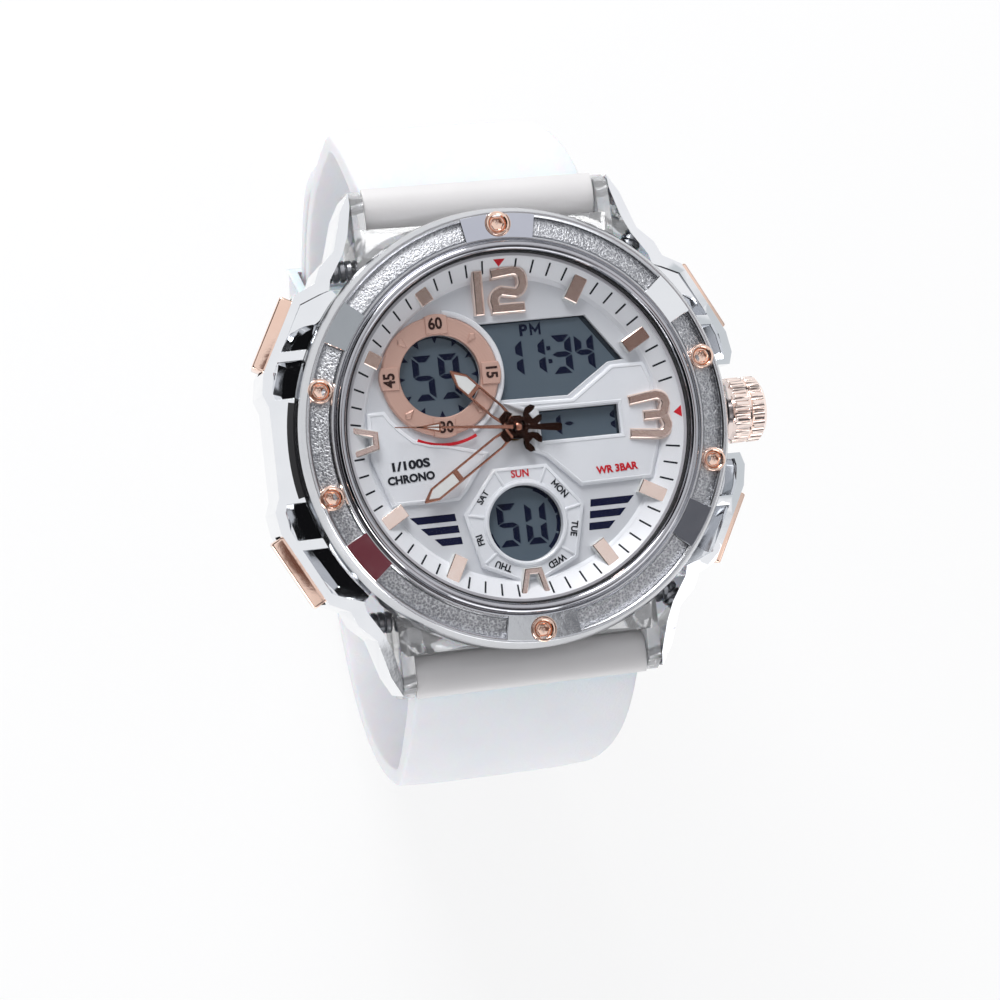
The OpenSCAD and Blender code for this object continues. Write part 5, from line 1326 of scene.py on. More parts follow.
@dataclass
class Markers:
    """The raised hour markers with white sides, and the 12 and the 3 with pale rose ones."""

    level: float = DIAL_LEVEL
    bar_high: float = 1.6
    numeral_high: float = 1.15
    cap: float = 0.14
    bar: Point = (1.45, 3.2)
    at_r: float = 16.0
    stroke: float = 1.12
    inner: float = 0.84
    tilt: float = 0.17
    numeral_tilt: float = 0.12
    short: float = 2.1
    open_wide: float = 0.74
    open_slim: float = 0.6
    open_high: float = 1.25
    numeral_r: float = 16.4

    def lean(self, x: float, y: float) -> float:
        """Gives how much lower a bar's top is at a point, because it leans towards the middle."""
        return -self.tilt * (self.at_r + self.bar[1] / 2 - math.hypot(x, y))

    def bars(self, piece: Piece) -> None:
        """Adds the straight bars, white below and rose on top."""
        w, full = self.bar
        outer = self.at_r + full / 2
        for angle in (30, 60, 120, 150, 210, 240, 300, 330):
            length = self.short if angle >= 300 else full
            loop = turned(box_loop(-w / 2, outer - length, w / 2, outer), angle)
            piece.add(plate([loop], self.level, [(0, self.bar_high - self.cap), (0.04, 0.03)], self.lean),
                Finishes.LUME)
            low = self.level + self.bar_high - self.cap + 0.035
            self.cap_plate(piece, loop, low, self.cap - 0.1, self.lean)

    @staticmethod
    def cap_plate(
        piece: Piece, loop: Loop, low: float, tall: float, lean: Callable[[float, float], float]
    ) -> None:
        """Adds a rose cap that leans with the marker below it.

        Args:
            piece: the piece that takes it.
            loop: its outline.
            low: the height of its underside where it doesn't lean.
            tall: the height of its sides.
            lean: how much lower it is at a point.
        """
        cap = plate([loop], low, [(0, tall), (0.08, 0.065)])
        for vert in cap.verts:
            vert.co.z += lean(vert.co.x, vert.co.y)
        piece.add(cap, Finishes.ROSE_PAINT)

    def trapezoids(self, piece: Piece) -> None:
        """Adds the open markers at 6 and 9."""
        path = [(-1.4, 17.6), (-0.65, 14.75), (0.65, 14.75), (1.4, 17.6)]
        for angle in (180, 270):
            wide = turned(band_loop(path, self.open_wide), angle)
            slim = turned(band_loop(path, self.open_slim), angle)
            piece.add(plate([wide], self.level, [(0, self.open_high), (0.04, 0.05)]), Finishes.LUME)
            piece.add(plate([slim], self.level + 1.28, [(0, 0.08), (0.1, 0.09)]), Finishes.ROSE_PAINT)

    def numerals(self, piece: Piece) -> None:
        """Adds the 12 and the 3: a pale rose foot with a rose band on it."""
        paths = (
            [(-2.35, 16.3), (-2.35, 11.8)],
            eased([(-0.9, 15.85), (2.15, 15.85), (2.15, 14.15), (-0.5, 13.75), (-0.5, 12.0)], 0.75),
            [(-1.05, 12.3), (2.45, 12.3)],
            eased([(12.3, 1.65), (15.8, 1.65), (15.8, 0.35), (15.4, -0.15)], 0.8),
            eased([(15.4, 0.1), (15.8, -0.45), (15.8, -1.75), (12.1, -1.75)], 0.8),
            [(13.7, -0.05), (15.6, -0.05)],
        )
        top = self.level + self.numeral_high

        def lean(x: float, y: float) -> float:
            """Gives how much lower a numeral's top is at a point."""
            return -self.numeral_tilt * (self.numeral_r - math.hypot(x, y))

        # Where two bands cross, one lies a hair higher, so that their tops don't share a plane
        for lift, path in zip((0.0, 0.0, 0.008, 0.008, 0.0, -0.008), paths):
            foot = plate([band_loop(path, self.stroke)], self.level, [(0, self.numeral_high - 0.12 + lift),
                (0.05, 0.05)], lean)
            piece.add(foot, Finishes.ROSE_EDGE)
            self.cap_plate(piece, band_loop(path, self.inner), top - 0.08 + lift, 0.06, lean)

    def build(self) -> None:
        """Builds all the markers as one piece."""
        piece = Piece("raised_markers")
        self.bars(piece)
        self.trapezoids(piece)
        self.numerals(piece)
        piece.build("case", "rose_dial", ["hour_markers"])


@dataclass
class Blade:
    """One of the two skeleton hands: a frame, a lit tip, a forked tail and a faceted hub."""

    name: str
    body: str
    node: str
    angle: float
    low: float
    length: float
    width: float
    tail: float
    pipe_r: float
    thick: float = 0.2
    hub_r: float = 1.25
    border: float = 0.24

    def windows(self) -> tuple[list[Point], list[Point]]:
        """Gives the open window near the hub and the lit one near the tip."""
        half = self.width / 2 - self.border
        tip = self.length - self.width * 0.9
        end = self.length * 0.62
        near = [(-half * 0.8, 2.0), (half * 0.8, 2.0), (half, 2.6), (half, end), (-half, end), (-half, 2.6)]
        far = [(-half, self.length * 0.67), (half, self.length * 0.67), (half, tip - 0.1),
            (0.0, self.length - 0.55), (-half, tip - 0.1)]
        return near, far

    def build(self) -> None:
        """Builds the hand."""
        half = self.width / 2
        tip = self.length - self.width * 0.9
        outline = [(0.55, 0.9), (half * 0.9, 1.7), (half, 2.6), (half, tip), (0.1, self.length),
            (-0.1, self.length), (-half, tip), (-half, 2.6), (-half * 0.9, 1.7), (-0.55, 0.9)]
        near, far = self.windows()
        place = spun(-self.angle)
        piece = Piece(self.name)
        rise = [(0, self.thick - 0.07), (0.08, 0.09)]
        piece.add(plate([outline, near, far], self.low, rise), Finishes.ROSE_HANDS, place)
        grown = [(x * 1.06, y + (0.03 if y > self.length * 0.7 else -0.03)) for x, y in far]
        paint = plate([grown], self.low + 0.03, [(0, self.thick - 0.08), (0.05, 0.03)])
        piece.add(paint, Finishes.LUME, place)
        root = [(half * 0.72, 1.95), (half * 0.95, 1.2), (-half * 0.95, 1.2), (-half * 0.72, 1.95)]
        piece.add(plate([root], self.low, [(0, self.thick), (0.06, 0.05)]), Finishes.DARK_BRONZE,
            place)
        end = -self.tail
        half_fork = [(0.33, end + 0.9), (0.36, end + 0.2), (0.55, end - 0.12), (0.98, end + 0.18),
            (1.06, end + 0.8), (0.78, end + 1.3), (0.42, end + 1.6), (0.4, -0.6)]
        fork = [(-x, y) for x, y in half_fork[::-1]] + half_fork
        piece.add(plate([fork], self.low, [(0, self.thick - 0.04), (0.1, 0.1)]), Finishes.DARK_BRONZE,
            place)
        bore = self.pipe_r + 0.02
        top = self.low + self.thick
        hub = [(bore, self.low), (self.hub_r, self.low), (self.hub_r, top - 0.04),
            (self.hub_r - 0.35, top + 0.06), (bore, top + 0.06)]
        piece.add(lathe(hub, 10), Finishes.DARK_BRONZE, place)
        piece.build(self.body, "rose_hands", [self.node], smooth=15)


@dataclass
class SecondsHand:
    """The slim seconds hand with its white arrow, its dark tail and its capped hub."""

    angle: float = 275.0
    low: float = 12.85
    thick: float = 0.16
    length: float = 12.8
    tail: float = 4.6
    bore: float = 0.27

    def build(self) -> None:
        """Builds the needle, the arrow, the tail and the hub."""
        place = spun(-self.angle)
        piece = Piece("slim_seconds_hand")
        needle = [(0.2, 0.5), (0.11, 8.0), (0.05, self.length), (-0.05, self.length), (-0.11, 8.0),
            (-0.2, 0.5)]
        rise = [(0, self.thick - 0.04), (0.025, 0.04)]
        piece.add(plate([needle], self.low, rise), Finishes.ROSE_HANDS, place)
        arrow = [(-0.52, 8.1), (0.52, 8.1), (0.0, 10.7)]
        hole = [(-0.3, 8.27), (0.3, 8.27), (0.0, 10.0)]
        piece.add(plate([arrow, hole], self.low, [(0, self.thick)]), Finishes.ROSE_HANDS, place)
        piece.add(plate([hole], self.low + 0.02, [(0, self.thick - 0.03)]), Finishes.LUME, place)
        end = -self.tail
        tail = [(-0.2, -0.5), (-0.42, end + 0.4), (-0.3, end), (0.3, end), (0.42, end + 0.4), (0.2, -0.5)]
        piece.add(plate([tail], self.low, [(0, self.thick - 0.06), (0.12, 0.08)]), Finishes.DARK_BRONZE,
            place)
        top = self.low + self.thick
        hub = [(self.bore, self.low), (0.62, self.low), (0.62, top - 0.02), (0.5, top + 0.06),
            (self.bore, top + 0.08)]
        piece.add(lathe(hub, 10), Finishes.DARK_BRONZE, place)
        cap = [(0.0, top + 0.02), (0.36, top + 0.02), (0.36, top + 0.12), (0.28, top + 0.18),
            (0.0, top + 0.2)]
        piece.add(lathe(cap, 32), Finishes.ROSE_HANDS, place)
        piece.build("seconds_hand", "rose_hands", ["seconds_hand"], smooth=20)


@dataclass
class Controls:
    """The four pushers and the crown at the case's sides."""

    height: float = 5.3
    out: float = 26.75
    thick: float = 2.4
    long: float = 8.0
    tall: float = 3.0
    soft: float = 0.26
    stem_r: float = 0.6
    clip_from: float = 16.9
    clip_r: float = 1.05
    angle: float = 28.0
    lean: float = 6.0

    def bar(self) -> Part:
        """Builds a pusher's rounded bar about the origin.

        Returns:
            The closed part.
        """
        part = bmesh.new()
        bmesh.ops.create_cube(part, size=1.0)
        bmesh.ops.scale(part, vec=(self.thick, self.long, self.tall), verts=part.verts)
        bmesh.ops.bevel(part, geom=part.edges[:], offset=self.soft, offset_type="OFFSET", affect="EDGES",
            segments=5, profile=0.5, material=-1)
        return part

    def pusher(self, name: str, angle: float) -> None:
        """Builds one pusher: a rounded bar on its stem, with the clip that keeps it in.

        Args:
            name: the body and node that it stands for.
            angle: its turn counter-clockwise from 3 o'clock, in degrees.
        """
        turn = spun(angle)
        out = turn @ Matrix.Translation((0, 0, self.height)) @ spun(90, "Y")
        low = self.out - self.thick
        set_in = turn @ Matrix.Translation((low + self.thick / 2, 0, self.height)) @ spun(self.lean, "Y")
        stem = [(0.0, self.clip_from - 0.35), (self.stem_r - 0.1, self.clip_from - 0.35),
            (self.stem_r, self.clip_from - 0.25), (self.stem_r, low + 0.1), (0.0, low + 0.1)]
        clip = box_loop(self.stem_r - 0.05, self.clip_from, self.clip_r, self.clip_from + 0.3)
        piece = Piece(f"{name}_button").add(self.bar(), Finishes.ROSE_STEEL, set_in)
        piece.add(lathe(stem, 32), Finishes.PLAIN_STEEL, out)
        piece.add(lathe(clip, 32), Finishes.PLAIN_STEEL, out)
        piece.build(name, "rose_steel", [name], smooth=40)

    def build(self) -> None:
        """Builds the pushers and the crown."""
        places = {"pusher_2": self.angle, "pusher_4": -self.angle, "pusher_8": 180 + self.angle,
            "pusher_10": 180 - self.angle}
        for name, angle in places.items():
            self.pusher(name, angle)
        # The crown takes the paler rose gold, whose paleness is painted highlight
        Piece("fluted_crown").add(node_copy("crown", 1.0), Finishes.ROSE_CROWN_HIGHLIT).build(
            "crown", "rose_steel", ["crown"], bevel=0.07, smooth=28)


@dataclass
class Path:
    """The strap's path from the 6 o'clock spring bar round the loop to the 12 o'clock one."""

    bar_y: float = 24.4
    bar_z: float = 4.4
    loop_y: float = 36.0
    drop: float = 4.0
    flat: float = 9.0
    mid_z: float = -20.0
    thick: float = 2.4
    lug_thick: float = 3.4
    gap: float = 0.3
    half_wide: float = 12.2
    half_slim: float = 10.0
    taper_from: float = -2.0
    taper_fall: float = 28.0
    lug_reach: float = 16.0

    def __post_init__(self) -> None:
        """Works out the arcs and the lengths."""
        fall = self.bar_z - self.mid_z
        self.mid_y = (self.loop_y**2 - self.bar_y**2 - fall**2) / (2 * (self.loop_y - self.bar_y))
        self.radius = self.loop_y - self.mid_y
        self.start = math.atan2(fall, self.bar_y - self.mid_y)
        self.low_r = self.loop_y - self.flat
        self.arc = self.radius * self.start
        self.side = self.arc + self.drop + self.low_r * math.pi / 2
        self.half = self.side + self.flat
        self.full = 2 * self.half
        self.low_z = self.mid_z - self.drop
        self.bottom = self.low_z - self.low_r

    def point(self, length: float) -> tuple[Vector, Vector]:
        """Gives a point of the path and the way outwards there.

        Args:
            length: how far along the path it is.

        Returns:
            The point and the outward way, each as Y and Z.
        """
        side = 1 if length > self.half else -1
        at = self.full - length if length > self.half else length
        if at < self.arc:
            turn = self.start - at / self.radius
            point = (self.mid_y + self.radius * math.cos(turn), self.mid_z + self.radius * math.sin(turn))
            way = (math.cos(turn), math.sin(turn))
        elif at < self.arc + self.drop:
            point = (self.loop_y, self.mid_z - (at - self.arc))
            way = (1.0, 0.0)
        elif at < self.side:
            turn = (at - self.arc - self.drop) / self.low_r
            point = (self.flat + self.low_r * math.cos(turn), self.low_z - self.low_r * math.sin(turn))
            way = (math.cos(turn), -math.sin(turn))
        else:
            point = (self.flat - (at - self.side), self.bottom)
            way = (0.0, -1.0)
        return Vector((side * point[0], point[1])), Vector((side * way[0], way[1]))

    @staticmethod
    def ease(share: float) -> float:
        """Eases a share between 0 and 1 in and out."""
        u = min(1.0, max(0.0, share))
        return u * u * (3 - 2 * u)

    def half_width(self, z: float) -> float:
        """Gives half the strap's width at a height."""
        share = self.ease((self.taper_from - z) / self.taper_fall)
        return self.half_wide + (self.half_slim - self.half_wide) * share

    def lug_extra(self, length: float, hinge: float) -> float:
        """Gives how much thicker each face is near a spring bar."""
        return (self.lug_thick - self.thick) / 2 * (1 - self.ease(abs(length - hinge) / self.lug_reach))


@dataclass
class Strap:
    """The two halves of the milky resin strap, the two keepers and the cover plates."""

    path: Path
    crown: float = 0.3
    slot_half: float = 1.0
    slot_long: float = 2.0
    pitch: float = 6.5
    first_slot: float = 3.35
    eye_r: float = 2.1
    bore: float = 0.95
    row: float = 1.7
    buckle_y: float = 1.4
    keeper_y: float = 4.4
    keeper_wide: float = 4.0
    keeper_thick: float = 1.2
    keeper_band: float = 0.7
    keeper_angle: float = 30.0
    step_back: float = 7.4
    step_long: float = 6.2
    tail_short: float = 5.0

    def depth(self, length: float, long: bool) -> float:
        """Gives how far the inner face stands out: the long half steps onto the short one."""
        if not long:
            return 0.0
        start = self.path.half - self.step_back
        return (self.path.thick + self.path.gap) * self.path.ease((length - start) / self.step_long)

    def rows(self, low: float, high: float, slots: Sequence[float]) -> list[float]:
        """Gives the lengths of the sheet's cross rows, with rows at the ends of each slot.

        Args:
            low: where the sheet starts.
            high: where it ends.
            slots: the middles of its slots.

        Returns:
            The lengths in order.
        """
        count = max(4, round((high - low) / self.row))
        plain = [low + (high - low) * i / count for i in range(count + 1)]
        reach = self.slot_long + 0.5
        kept = [p for p in plain if all(abs(p - s) > reach + 0.4 for s in slots)]
        cut = [s + d for s in slots for d in (-reach, -self.slot_long, 0.0, self.slot_long, reach)]
        ends = [low + 0.25, high - 0.25]
        return sorted({round(v, 4) for v in kept + cut + ends + [low, high]})

    def sheet(
        self, low: float, high: float, hinge: float, long: bool, slots: Sequence[float]
    ) -> Part:
        """Builds one half as a closed sheet along the path.

        Args:
            low: the length where it starts.
            high: the length where it ends.
            hinge: the length of its spring bar.
            long: whether it is the long half, whose end is round.
            slots: the middles of its slots.

        Returns:
            The closed part.
        """
        lengths = self.rows(low, high, slots)
        columns = [-1.0, -0.975, -0.9, -0.62, -0.3, -0.1, 0.1, 0.3, 0.62, 0.9, 0.975, 1.0]
        part = bmesh.new()
        bmesh.ops.create_grid(part, x_segments=len(columns) - 1, y_segments=len(lengths) - 1, size=1.0)
        for vert in part.verts:
            i = round((vert.co.x + 1) / 2 * (len(columns) - 1))
            j = round((vert.co.y + 1) / 2 * (len(lengths) - 1))
            vert.co = (i, j, 0)
        holes = []
        slot_column = len(columns) // 2 - 1
        for face in part.faces:
            middle = face.calc_center_median()
            at = lengths[int(middle.y)] + 0.01
            in_slot = any(s - self.slot_long <= at < s + self.slot_long for s in slots)
            if in_slot and int(middle.x) == slot_column:
                holes.append(face)
        bmesh.ops.delete(part, geom=holes, context="FACES")
        grown = bmesh.ops.extrude_face_region(part, geom=part.faces[:])
        for item in grown["geom"]:
            if isinstance(item, bmesh.types.BMVert):
                item.co.z = 1
        for vert in part.verts:
            i, j, layer = round(vert.co.x), round(vert.co.y), vert.co.z
            vert.co = self.place(columns[i], lengths[j], high, hinge, long, layer)
        bmesh.ops.recalc_face_normals(part, faces=part.faces)
        return part

    def place(
        self, share: float, length: float, high: float, hinge: float, long: bool, layer: float
    ) -> Vector:
        """Gives the place of a point of the sheet.

        Args:
            share: how far across it is, from -1 to 1.
            length: how far along the path it is.
            high: the length where the half ends.
            hinge: the length of its spring bar.
            long: whether it is the long half.
            layer: 0 on the inner face and 1 on the outer one.

        Returns:
            The point in millimetres.
        """
        path = self.path
        spot, way = path.point(length)
        half = path.half_width(spot.y)
        if long and length > high - path.half_slim:
            along = (length - high + path.half_slim) / path.half_slim
            half *= math.sqrt(max(0.02, 1 - min(1.0, along) ** 2))
        across = share * half
        if abs(share) < 0.2:
            across = math.copysign(min(self.slot_half, half * abs(share) * 4), share)
        extra = path.lug_extra(length, hinge)
        crown = self.crown * share**6
        inner = self.depth(length, long) - extra + crown
        outer = self.depth(length, long) + path.thick + extra - crown
        deep = (outer if layer > 0.5 else inner) - path.thick / 2
        return Vector((across, spot.x + deep * way.x, spot.y + deep * way.y))

    def across(self, y: float, z: float) -> Matrix:
        """Gives the place of a part that is turned about an axis along X."""
        return Matrix.Translation((0, y, z)) @ spun(90, "Y")

    def pipe(self, outer: float, inner: float, half: float) -> Part:
        """Builds a pipe about the upright axis with soft ends.

        Args:
            outer: its outer radius.
            inner: its inner radius.
            half: half its length.

        Returns:
            The closed part.
        """
        return lathe([(inner, -half), (outer - 0.3, -half), (outer, -half + 0.3), (outer, half - 0.3),
            (outer - 0.3, half), (inner, half)], 48)

    def band(
        self, inside: Triple, wall: float, side: float, wide: float
    ) -> Part:
        """Builds a flat loop round the strap, lying about the origin with its opening along Z.

        Args:
            inside: half its inner width, and the lowest and highest inner height.
            wall: the thickness of its band below and above.
            side: the thickness of its sides.
            wide: its width along the strap.

        Returns:
            The closed part.
        """
        half, low, high = inside
        outer = box_loop(-half - side, low - wall, half + side, high + wall)
        opening = box_loop(-half, low, half, high)
        return plate([outer, opening], -wide / 2, [(0.25, 0.25), (0, wide - 0.5), (0.25, 0.25)])

    def halves(self) -> None:
        """Builds both halves, each with the round end that turns on its spring bar."""
        path = self.path
        tail_end = path.full - path.arc - path.drop - self.tail_short
        slots = [path.half - self.first_slot + i * self.pitch for i in range(-3, 6)]
        long = Piece("long_strap").add(self.sheet(0.0, tail_end, 0.0, True, slots), Finishes.STRAP_RESIN)
        long.add(self.pipe(self.eye_r, self.bore, path.half_wide), Finishes.STRAP_RESIN,
            self.across(-path.bar_y, path.bar_z))
        self.smooth(long.build("strap_6", "strap_resin", ["strap_6"], smooth=180))
        start = path.half + self.buckle_y
        sheet = self.sheet(start, path.full, path.full, False, [])
        short = Piece("short_strap").add(sheet, Finishes.STRAP_RESIN)
        short.add(self.pipe(self.eye_r, self.bore, path.half_wide), Finishes.STRAP_RESIN,
            self.across(path.bar_y, path.bar_z))
        inside = (path.half_slim + 0.25, path.bottom + path.thick / 2 - 2 * (path.thick + path.gap),
            path.bottom + path.thick / 2)
        keeper = self.band(inside, self.keeper_band, self.keeper_thick, self.keeper_wide)
        place = Matrix.Translation((0, self.keeper_y + self.keeper_wide / 2, 0)) @ spun(90, "X")
        short.add(keeper, Finishes.STRAP_RESIN, place)
        self.smooth(short.build("strap_12", "strap_resin", ["strap_12"], smooth=180))

    @staticmethod
    def smooth(thing: bpy.types.Object) -> None:
        """Rounds a resin piece with a subdivision surface."""
        crease = thing.modifiers.new("rounded_resin", "SUBSURF")
        crease.levels = 2
        crease.render_levels = 2

    def free_keeper(self) -> None:
        """Builds the loose keeper on the lower arc of the strap."""
        path = self.path
        low = path.low_r - path.thick / 2 - path.gap
        high = path.low_r + path.thick * 1.5 + 2 * path.gap
        place = Matrix.Translation((0, path.flat, path.low_z)) @ spun(self.keeper_angle, "X") @ spun(90, "X")
        wall = self.keeper_thick
        part = self.band((path.half_slim + 0.3, -high, -low), wall, wall, self.keeper_wide)
        Piece("loose_keeper").add(part, Finishes.STRAP_RESIN, place).build(
            "keeper", "strap_resin", ["keeper"], bevel=0.25, smooth=30, segments=3)

    def covers(self) -> None:
        """Builds the lacquered plates over the strap's ends."""
        Piece("strap_end_plates").add(node_copy("strap_covers", 0.2), Finishes.COVER_GREY).build(
            "case", "cover_grey", ["strap_covers"], bevel=0.15, smooth=38, segments=3)

    def build(self) -> None:
        """Builds everything of the strap."""
        self.halves()
        self.free_keeper()
        self.covers()


@dataclass
class Buckle:
    """The steel buckle frame and its prong."""

    soft: float = 0.18

    def build(self) -> None:
        """Builds both from the frame's own shapes, with rolled edges."""
        Piece("rolled_buckle").add(node_copy("buckle_frame", 0.3), Finishes.POLISHED_STEEL).build(
            "buckle_frame", "polished_steel", ["buckle_frame"], bevel=self.soft, smooth=35, segments=3)
        Piece("rolled_prong").add(node_copy("buckle_prong", 0.3), Finishes.POLISHED_STEEL).build(
            "buckle_prong", "polished_steel", ["buckle_prong"], bevel=0.12, smooth=35, segments=3)


@dataclass
class Works:
    """The solids that keep their own shape: the module, the train, the seals and the back."""

    def finishes(self) -> dict[str, Finish]:
        """Gives the finish of each node that keeps its shape."""
        groups = {
            Finishes.PLAIN_STEEL: ("thread_inserts", "motor_stator", "battery", "battery_clip",
                "case_back_screws", "pusher_tubes", "pusher_springs", "crown_tube", "spring_bars",
                "seconds_wheel", "cannon_pinion", "setting_lever", "crown_stem", "buckle_bar"),
            Finishes.SATIN_STEEL: ("case_back",),
            Finishes.RUBBER: ("bezel_gasket", "case_back_gasket", "crown_gasket"),
            Finishes.BRASS: ("main_plate", "train_bridge", "hour_wheel", "minute_wheel", "third_wheel"),
            Finishes.COPPER: ("motor_coil",),
            Finishes.BOARD: ("circuit_board",),
            Finishes.MODULE_PLASTIC: ("module_housing",),
            Finishes.LIGHT_GUIDE: ("light_guide",),
            Finishes.CONTACT_RUBBER: ("zebra_strips",),
            Finishes.LCD_GLASS: ("lcd_panel",),
        }
        return {node: finish for finish, nodes in groups.items() for node in nodes}

    def build(self) -> None:
        """Gives each of these nodes its finish."""
        for node, finish in self.finishes().items():
            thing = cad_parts[node]
            for place in thing.material_slots:
                place.material = finish.material()
            LOG.info("%s: %s", node, finish.name)


@dataclass
class Studio:
    """A pale floor, soft light and a camera at the photograph's angle."""

    turn: Triple = (-2.13, 13.59, 5.98)
    offset: Triple = (-2.12, -7.53, 250.0)
    target_z: float = 14.0
    lens: float = 88.8
    floor_gap: float = 0.05
    floor_size: float = 900.0
    floor_colour: str = "F4F4F5"
    floor_glow: float = 0.8
    card_r: float = 20.6
    marker_r: float = 16.0
    lamps: tuple[tuple[str, Triple, float, float], ...] = (
        ("key_lamp", (-90, 400, 250), 240, 2.1), ("fill_lamp", (330, -300, 220), 300, 0.2),
        ("front_lamp", (0, -420, 30), 300, 0.6), ("side_lamp", (-350, -260, -50), 220, 1.3))
    room_colour: str = "B6B7BA"
    cards: tuple[tuple[float, Point, str], ...] = ((0.0, (1.7, 3.2), "C6C7D2"),
        (304.0, (1.7, 3.2), "A4A8AC"), (236.0, (1.7, 3.2), "6A2F38"), (124.0, (1.7, 3.2), "5A5B62"),
        (186.0, (1.2, 2.0), "C8C9CC"), (168.0, (0.5, 1.1), "5C5D62"))
    marker_cards: tuple[tuple[float, str], ...] = ((30.0, "5E4A44"), (60.0, "64483F"), (300.0, "7A675F"),
        (330.0, "5A4B46"))
    marker_reach: Point = (3.2, 4.6)
    marker_rise: float = 0.17
    marker_z: float = 12.5
    flags: tuple[tuple[Triple, Point, str], ...] = (
        ((0.2, -0.55, 0.81), (16.0, 23.0), "4E4E52"), ((-0.85, -0.12, 0.5), (30.0, 33.0), "111113"),
        ((-0.6, 0.66, 0.45), (16.0, 20.0), "111113"), ((-0.04, -0.02, 1.0), (8.0, 11.0), "6A5048"),
        ((0.244, -0.12, 0.962), (3.0, 5.4), "5E4E48"),
        ((0.79, 0.06, 0.61), (12.0, 20.0), "D3D7DA"), ((0.95, 0.1, 0.12), (12.0, 20.0), "1A1A1D"))
    room_stops: tuple[tuple[float, str], ...] = ((0.0, "8A8B8F"), (0.06, "3A3B3F"), (0.14, "3A3B3F"),
        (0.22, "C9CBCF"), (0.55, "FAFAFC"), (1.0, "F4F5F7"))

    def view(self) -> Matrix:
        """Gives the turn from the watch's frame to the camera's."""
        return Euler(tuple(math.radians(a) for a in self.turn), "XYZ").to_matrix()

    def eye(self) -> Vector:
        """Gives the camera's place in millimetres."""
        return self.view().transposed() @ Vector(self.offset) + Vector((0, 0, self.target_z))

    def camera(self) -> None:
        """Sets the camera."""
        data = bpy.data.cameras.new("photo_camera")
        data.lens = self.lens
        data.sensor_width = 36.0
        data.clip_start = 0.01
        data.dof.use_dof = False
        holder = bpy.data.objects.new("photo_camera", data)
        holder.matrix_world = Matrix.Translation(self.eye() * MM) @ self.view().transposed().to_4x4()
        put(holder)
        bpy.context.scene.camera = holder

    def lamp(self, name: str, place: Triple, size: float, power: float) -> None:
        """Adds a square lamp that looks at the watch.

        Args:
            name: its name.
            place: where it hangs, in millimetres.
            size: the length of its side in millimetres.
            power: its power in watts.
        """
        data = bpy.data.lights.new(name, "AREA")
        data.shape = "SQUARE"
        data.size = size * MM
        data.energy = power
        holder = bpy.data.objects.new(name, data)
        where = Vector(place) * MM
        holder.matrix_world = Matrix.Translation(where) @ where.to_track_quat("Z", "Y").to_matrix().to_4x4()
        put(holder)

    def floor(self, low: float) -> None:
        """Adds the pale floor.

        Args:
            low: the lowest point of the watch in metres.
        """
        part = bmesh.new()
        bmesh.ops.create_grid(part, x_segments=8, y_segments=8, size=self.floor_size * MM)
        bmesh.ops.translate(part, vec=(0, 0, low - self.floor_gap * MM), verts=part.verts)
        mesh = bpy.data.meshes.new("floor")
        part.to_mesh(mesh)
        part.free()
        material = bpy.data.materials.new("pale_floor")
        tree = bare_tree(material)
        rays = add_node(tree, "ShaderNodeLightPath").outputs
        seen = combine(tree, "MAXIMUM", rays["Is Camera Ray"], rays["Is Glossy Ray"])
        seen = combine(tree, "MAXIMUM", seen, rays["Is Transmission Ray"])
        share = combine(tree, "MULTIPLY", seen, self.floor_glow)
        matt = add_node(tree, "ShaderNodeBsdfDiffuse", {}, {"Color": hex_linear(self.floor_colour)})
        glow = add_node(tree, "ShaderNodeEmission", {}, {"Color": (1, 1, 1, 1), "Strength": 1.0})
        both = add_node(tree, "ShaderNodeMixShader", {}, {0: share, 1: matt.outputs[0], 2: glow.outputs[0]})
        add_node(tree, "ShaderNodeOutputMaterial", {}, {"Surface": both.outputs[0]})
        mesh.materials.append(material)
        floor = bpy.data.objects.new("floor", mesh)
        put(floor)
        floor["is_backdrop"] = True

    def mirrored(self, point: Triple, rise: Point = (0.0, 0.0)) -> Vector:
        """Gives the way that a mirror at a point shows to the camera.

        Args:
            point: the point in millimetres.
            rise: how steeply the mirror rises along X and Y.

        Returns:
            The way as a unit vector.
        """
        way = (Vector(point) - self.eye()).normalized()
        return way.reflect(Vector((-rise[0], -rise[1], 1.0)).normalized())

    def patch(
        self, tree: Tree, way: Socket, below: Socket, aim: Vector, reach: Point, colour: str
    ) -> Socket:
        """Hangs a soft round card in the room.

        Args:
            tree: the room's node tree.
            way: the way that is looked up.
            below: the room's colour so far.
            aim: the way to the card's middle.
            reach: the angles in degrees where it is full and where it ends.
            colour: its colour.

        Returns:
            The room's colour with the card in it.
        """
        near = add_node(tree, "ShaderNodeVectorMath", {"operation": "DOT_PRODUCT"}, {0: way, 1: tuple(aim)})
        share = add_node(tree, "ShaderNodeMapRange", {"interpolation_type": "SMOOTHSTEP"}, {
            "Value": near.outputs["Value"], "From Min": math.cos(math.radians(reach[1])),
            "From Max": math.cos(math.radians(reach[0]))})
        return blend(tree, share.outputs["Result"], below, hex_linear(colour))

    def sky(
        self, tree: Tree, height: Socket, stops: Sequence[tuple[float, str]]
    ) -> Socket:
        """Adds the room's colour, which changes with the height.

        Args:
            tree: the room's node tree.
            height: the way's height, from 0 at the horizon to 1 overhead.
            stops: the height and the colour of each stop.

        Returns:
            The colour.
        """
        band = add_node(tree, "ShaderNodeValToRGB", {}, {0: height})
        ramp = band.color_ramp
        while len(ramp.elements) < len(stops):
            ramp.elements.new(0.5)
        for element, (place, colour) in zip(ramp.elements, stops):
            element.position = place
            element.color = hex_linear(colour)
        return band.outputs["Color"]

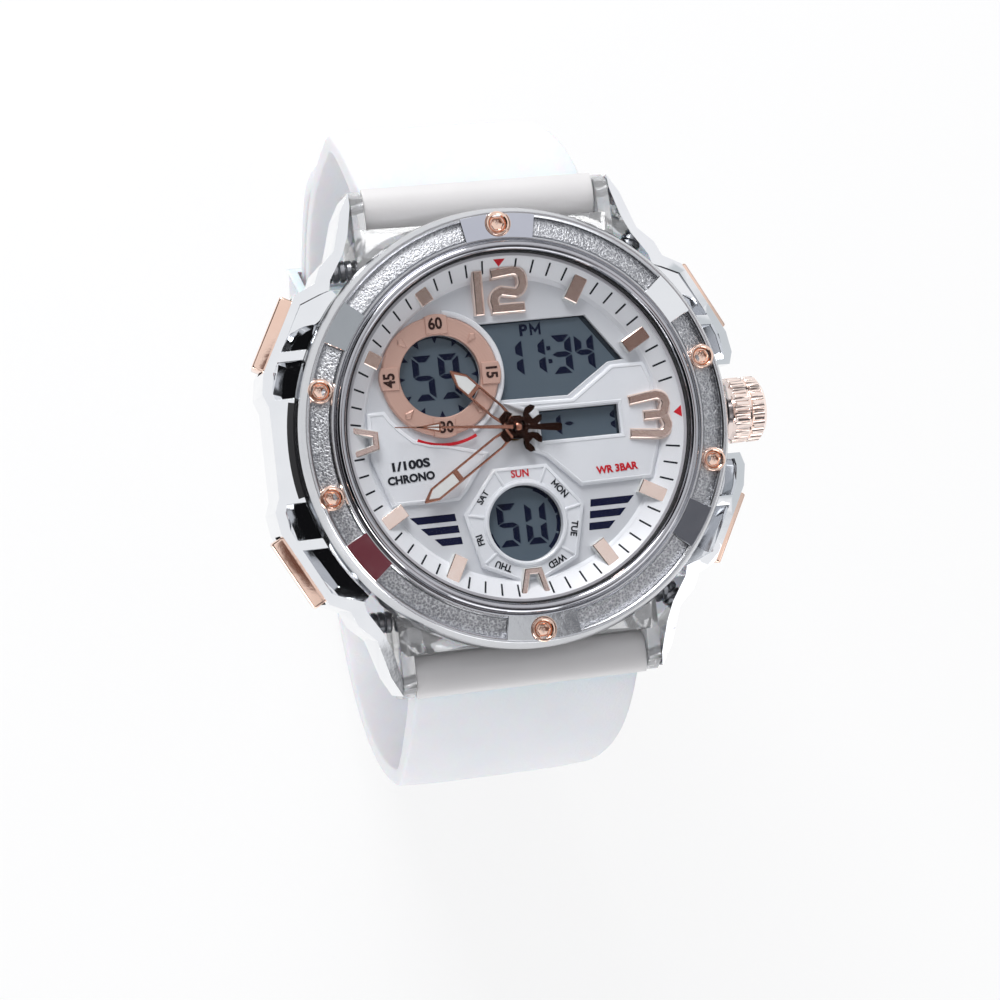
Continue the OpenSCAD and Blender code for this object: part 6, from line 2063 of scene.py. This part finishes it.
    def world(self) -> None:
        """Sets the room: pale overhead, dark near the horizon, with cards that the metal shows."""
        world = bpy.data.worlds.new("studio")
        bpy.context.scene.world = world
        tree = bare_tree(world)
        way = add_node(tree, "ShaderNodeTexCoord").outputs["Generated"]
        parts = add_node(tree, "ShaderNodeSeparateXYZ", {}, {0: way})
        colour = self.sky(tree, parts.outputs["Z"], self.room_stops)
        for aim, reach, tone in self.flags:
            colour = self.patch(tree, way, colour, Vector(aim).normalized(), reach, tone)
        for angle, reach, tone in self.cards:
            aim = self.mirrored((*clock(angle, self.card_r), self.target_z))
            colour = self.patch(tree, way, colour, aim, reach, tone)
        for angle, tone in self.marker_cards:
            aim = self.mirrored((*clock(angle, self.marker_r), self.marker_z), clock(angle, self.marker_rise))
            colour = self.patch(tree, way, colour, aim, self.marker_reach, tone)
        rays = add_node(tree, "ShaderNodeLightPath").outputs
        white = (1.0, 1.0, 1.0, 1.0)
        plain = combine(tree, "MAXIMUM", rays["Is Camera Ray"], rays["Is Transmission Ray"])
        level = blend(tree, plain, hex_linear(self.room_colour), white)
        tint = blend(tree, rays["Is Glossy Ray"], level, colour)
        background = add_node(tree, "ShaderNodeBackground", {}, {"Color": tint, "Strength": 1.0})
        add_node(tree, "ShaderNodeOutputWorld", {}, {"Surface": background.outputs[0]})

    def build(self) -> None:
        """Builds the studio and sets the plain view."""
        self.camera()
        self.world()
        for lamp in self.lamps:
            self.lamp(*lamp)
        self.floor(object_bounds()[0][2])
        bpy.context.scene.view_settings.view_transform = "Standard"


def main() -> None:
    """Builds the watch, piece by piece, and the studio round it."""
    logging.basicConfig(level=logging.INFO, format="%(name)s %(message)s")
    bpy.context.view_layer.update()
    Studio().build()
    blades = (
        Blade("skeleton_hour_hand", "hour_hand", "hour_hand", 315.5, 11.95, 8.9, 1.7, 2.9, 0.85),
        Blade("skeleton_minute_hand", "minute_hand", "minute_hand", 237.2, 12.4, 12.4, 1.5, 2.7, 0.5),
    )
    parts = (Case(), Guards(), Bezel(), Crystal(), Track(), Dial(), SecondsDial(), Displays(), Markers(),
        *blades, SecondsHand(), Controls(), Strap(Path()), Buckle(), Works())
    for part in parts:
        LOG.info("building %s", type(part).__name__)
        part.build()


if __name__ == "__main__":
    main()
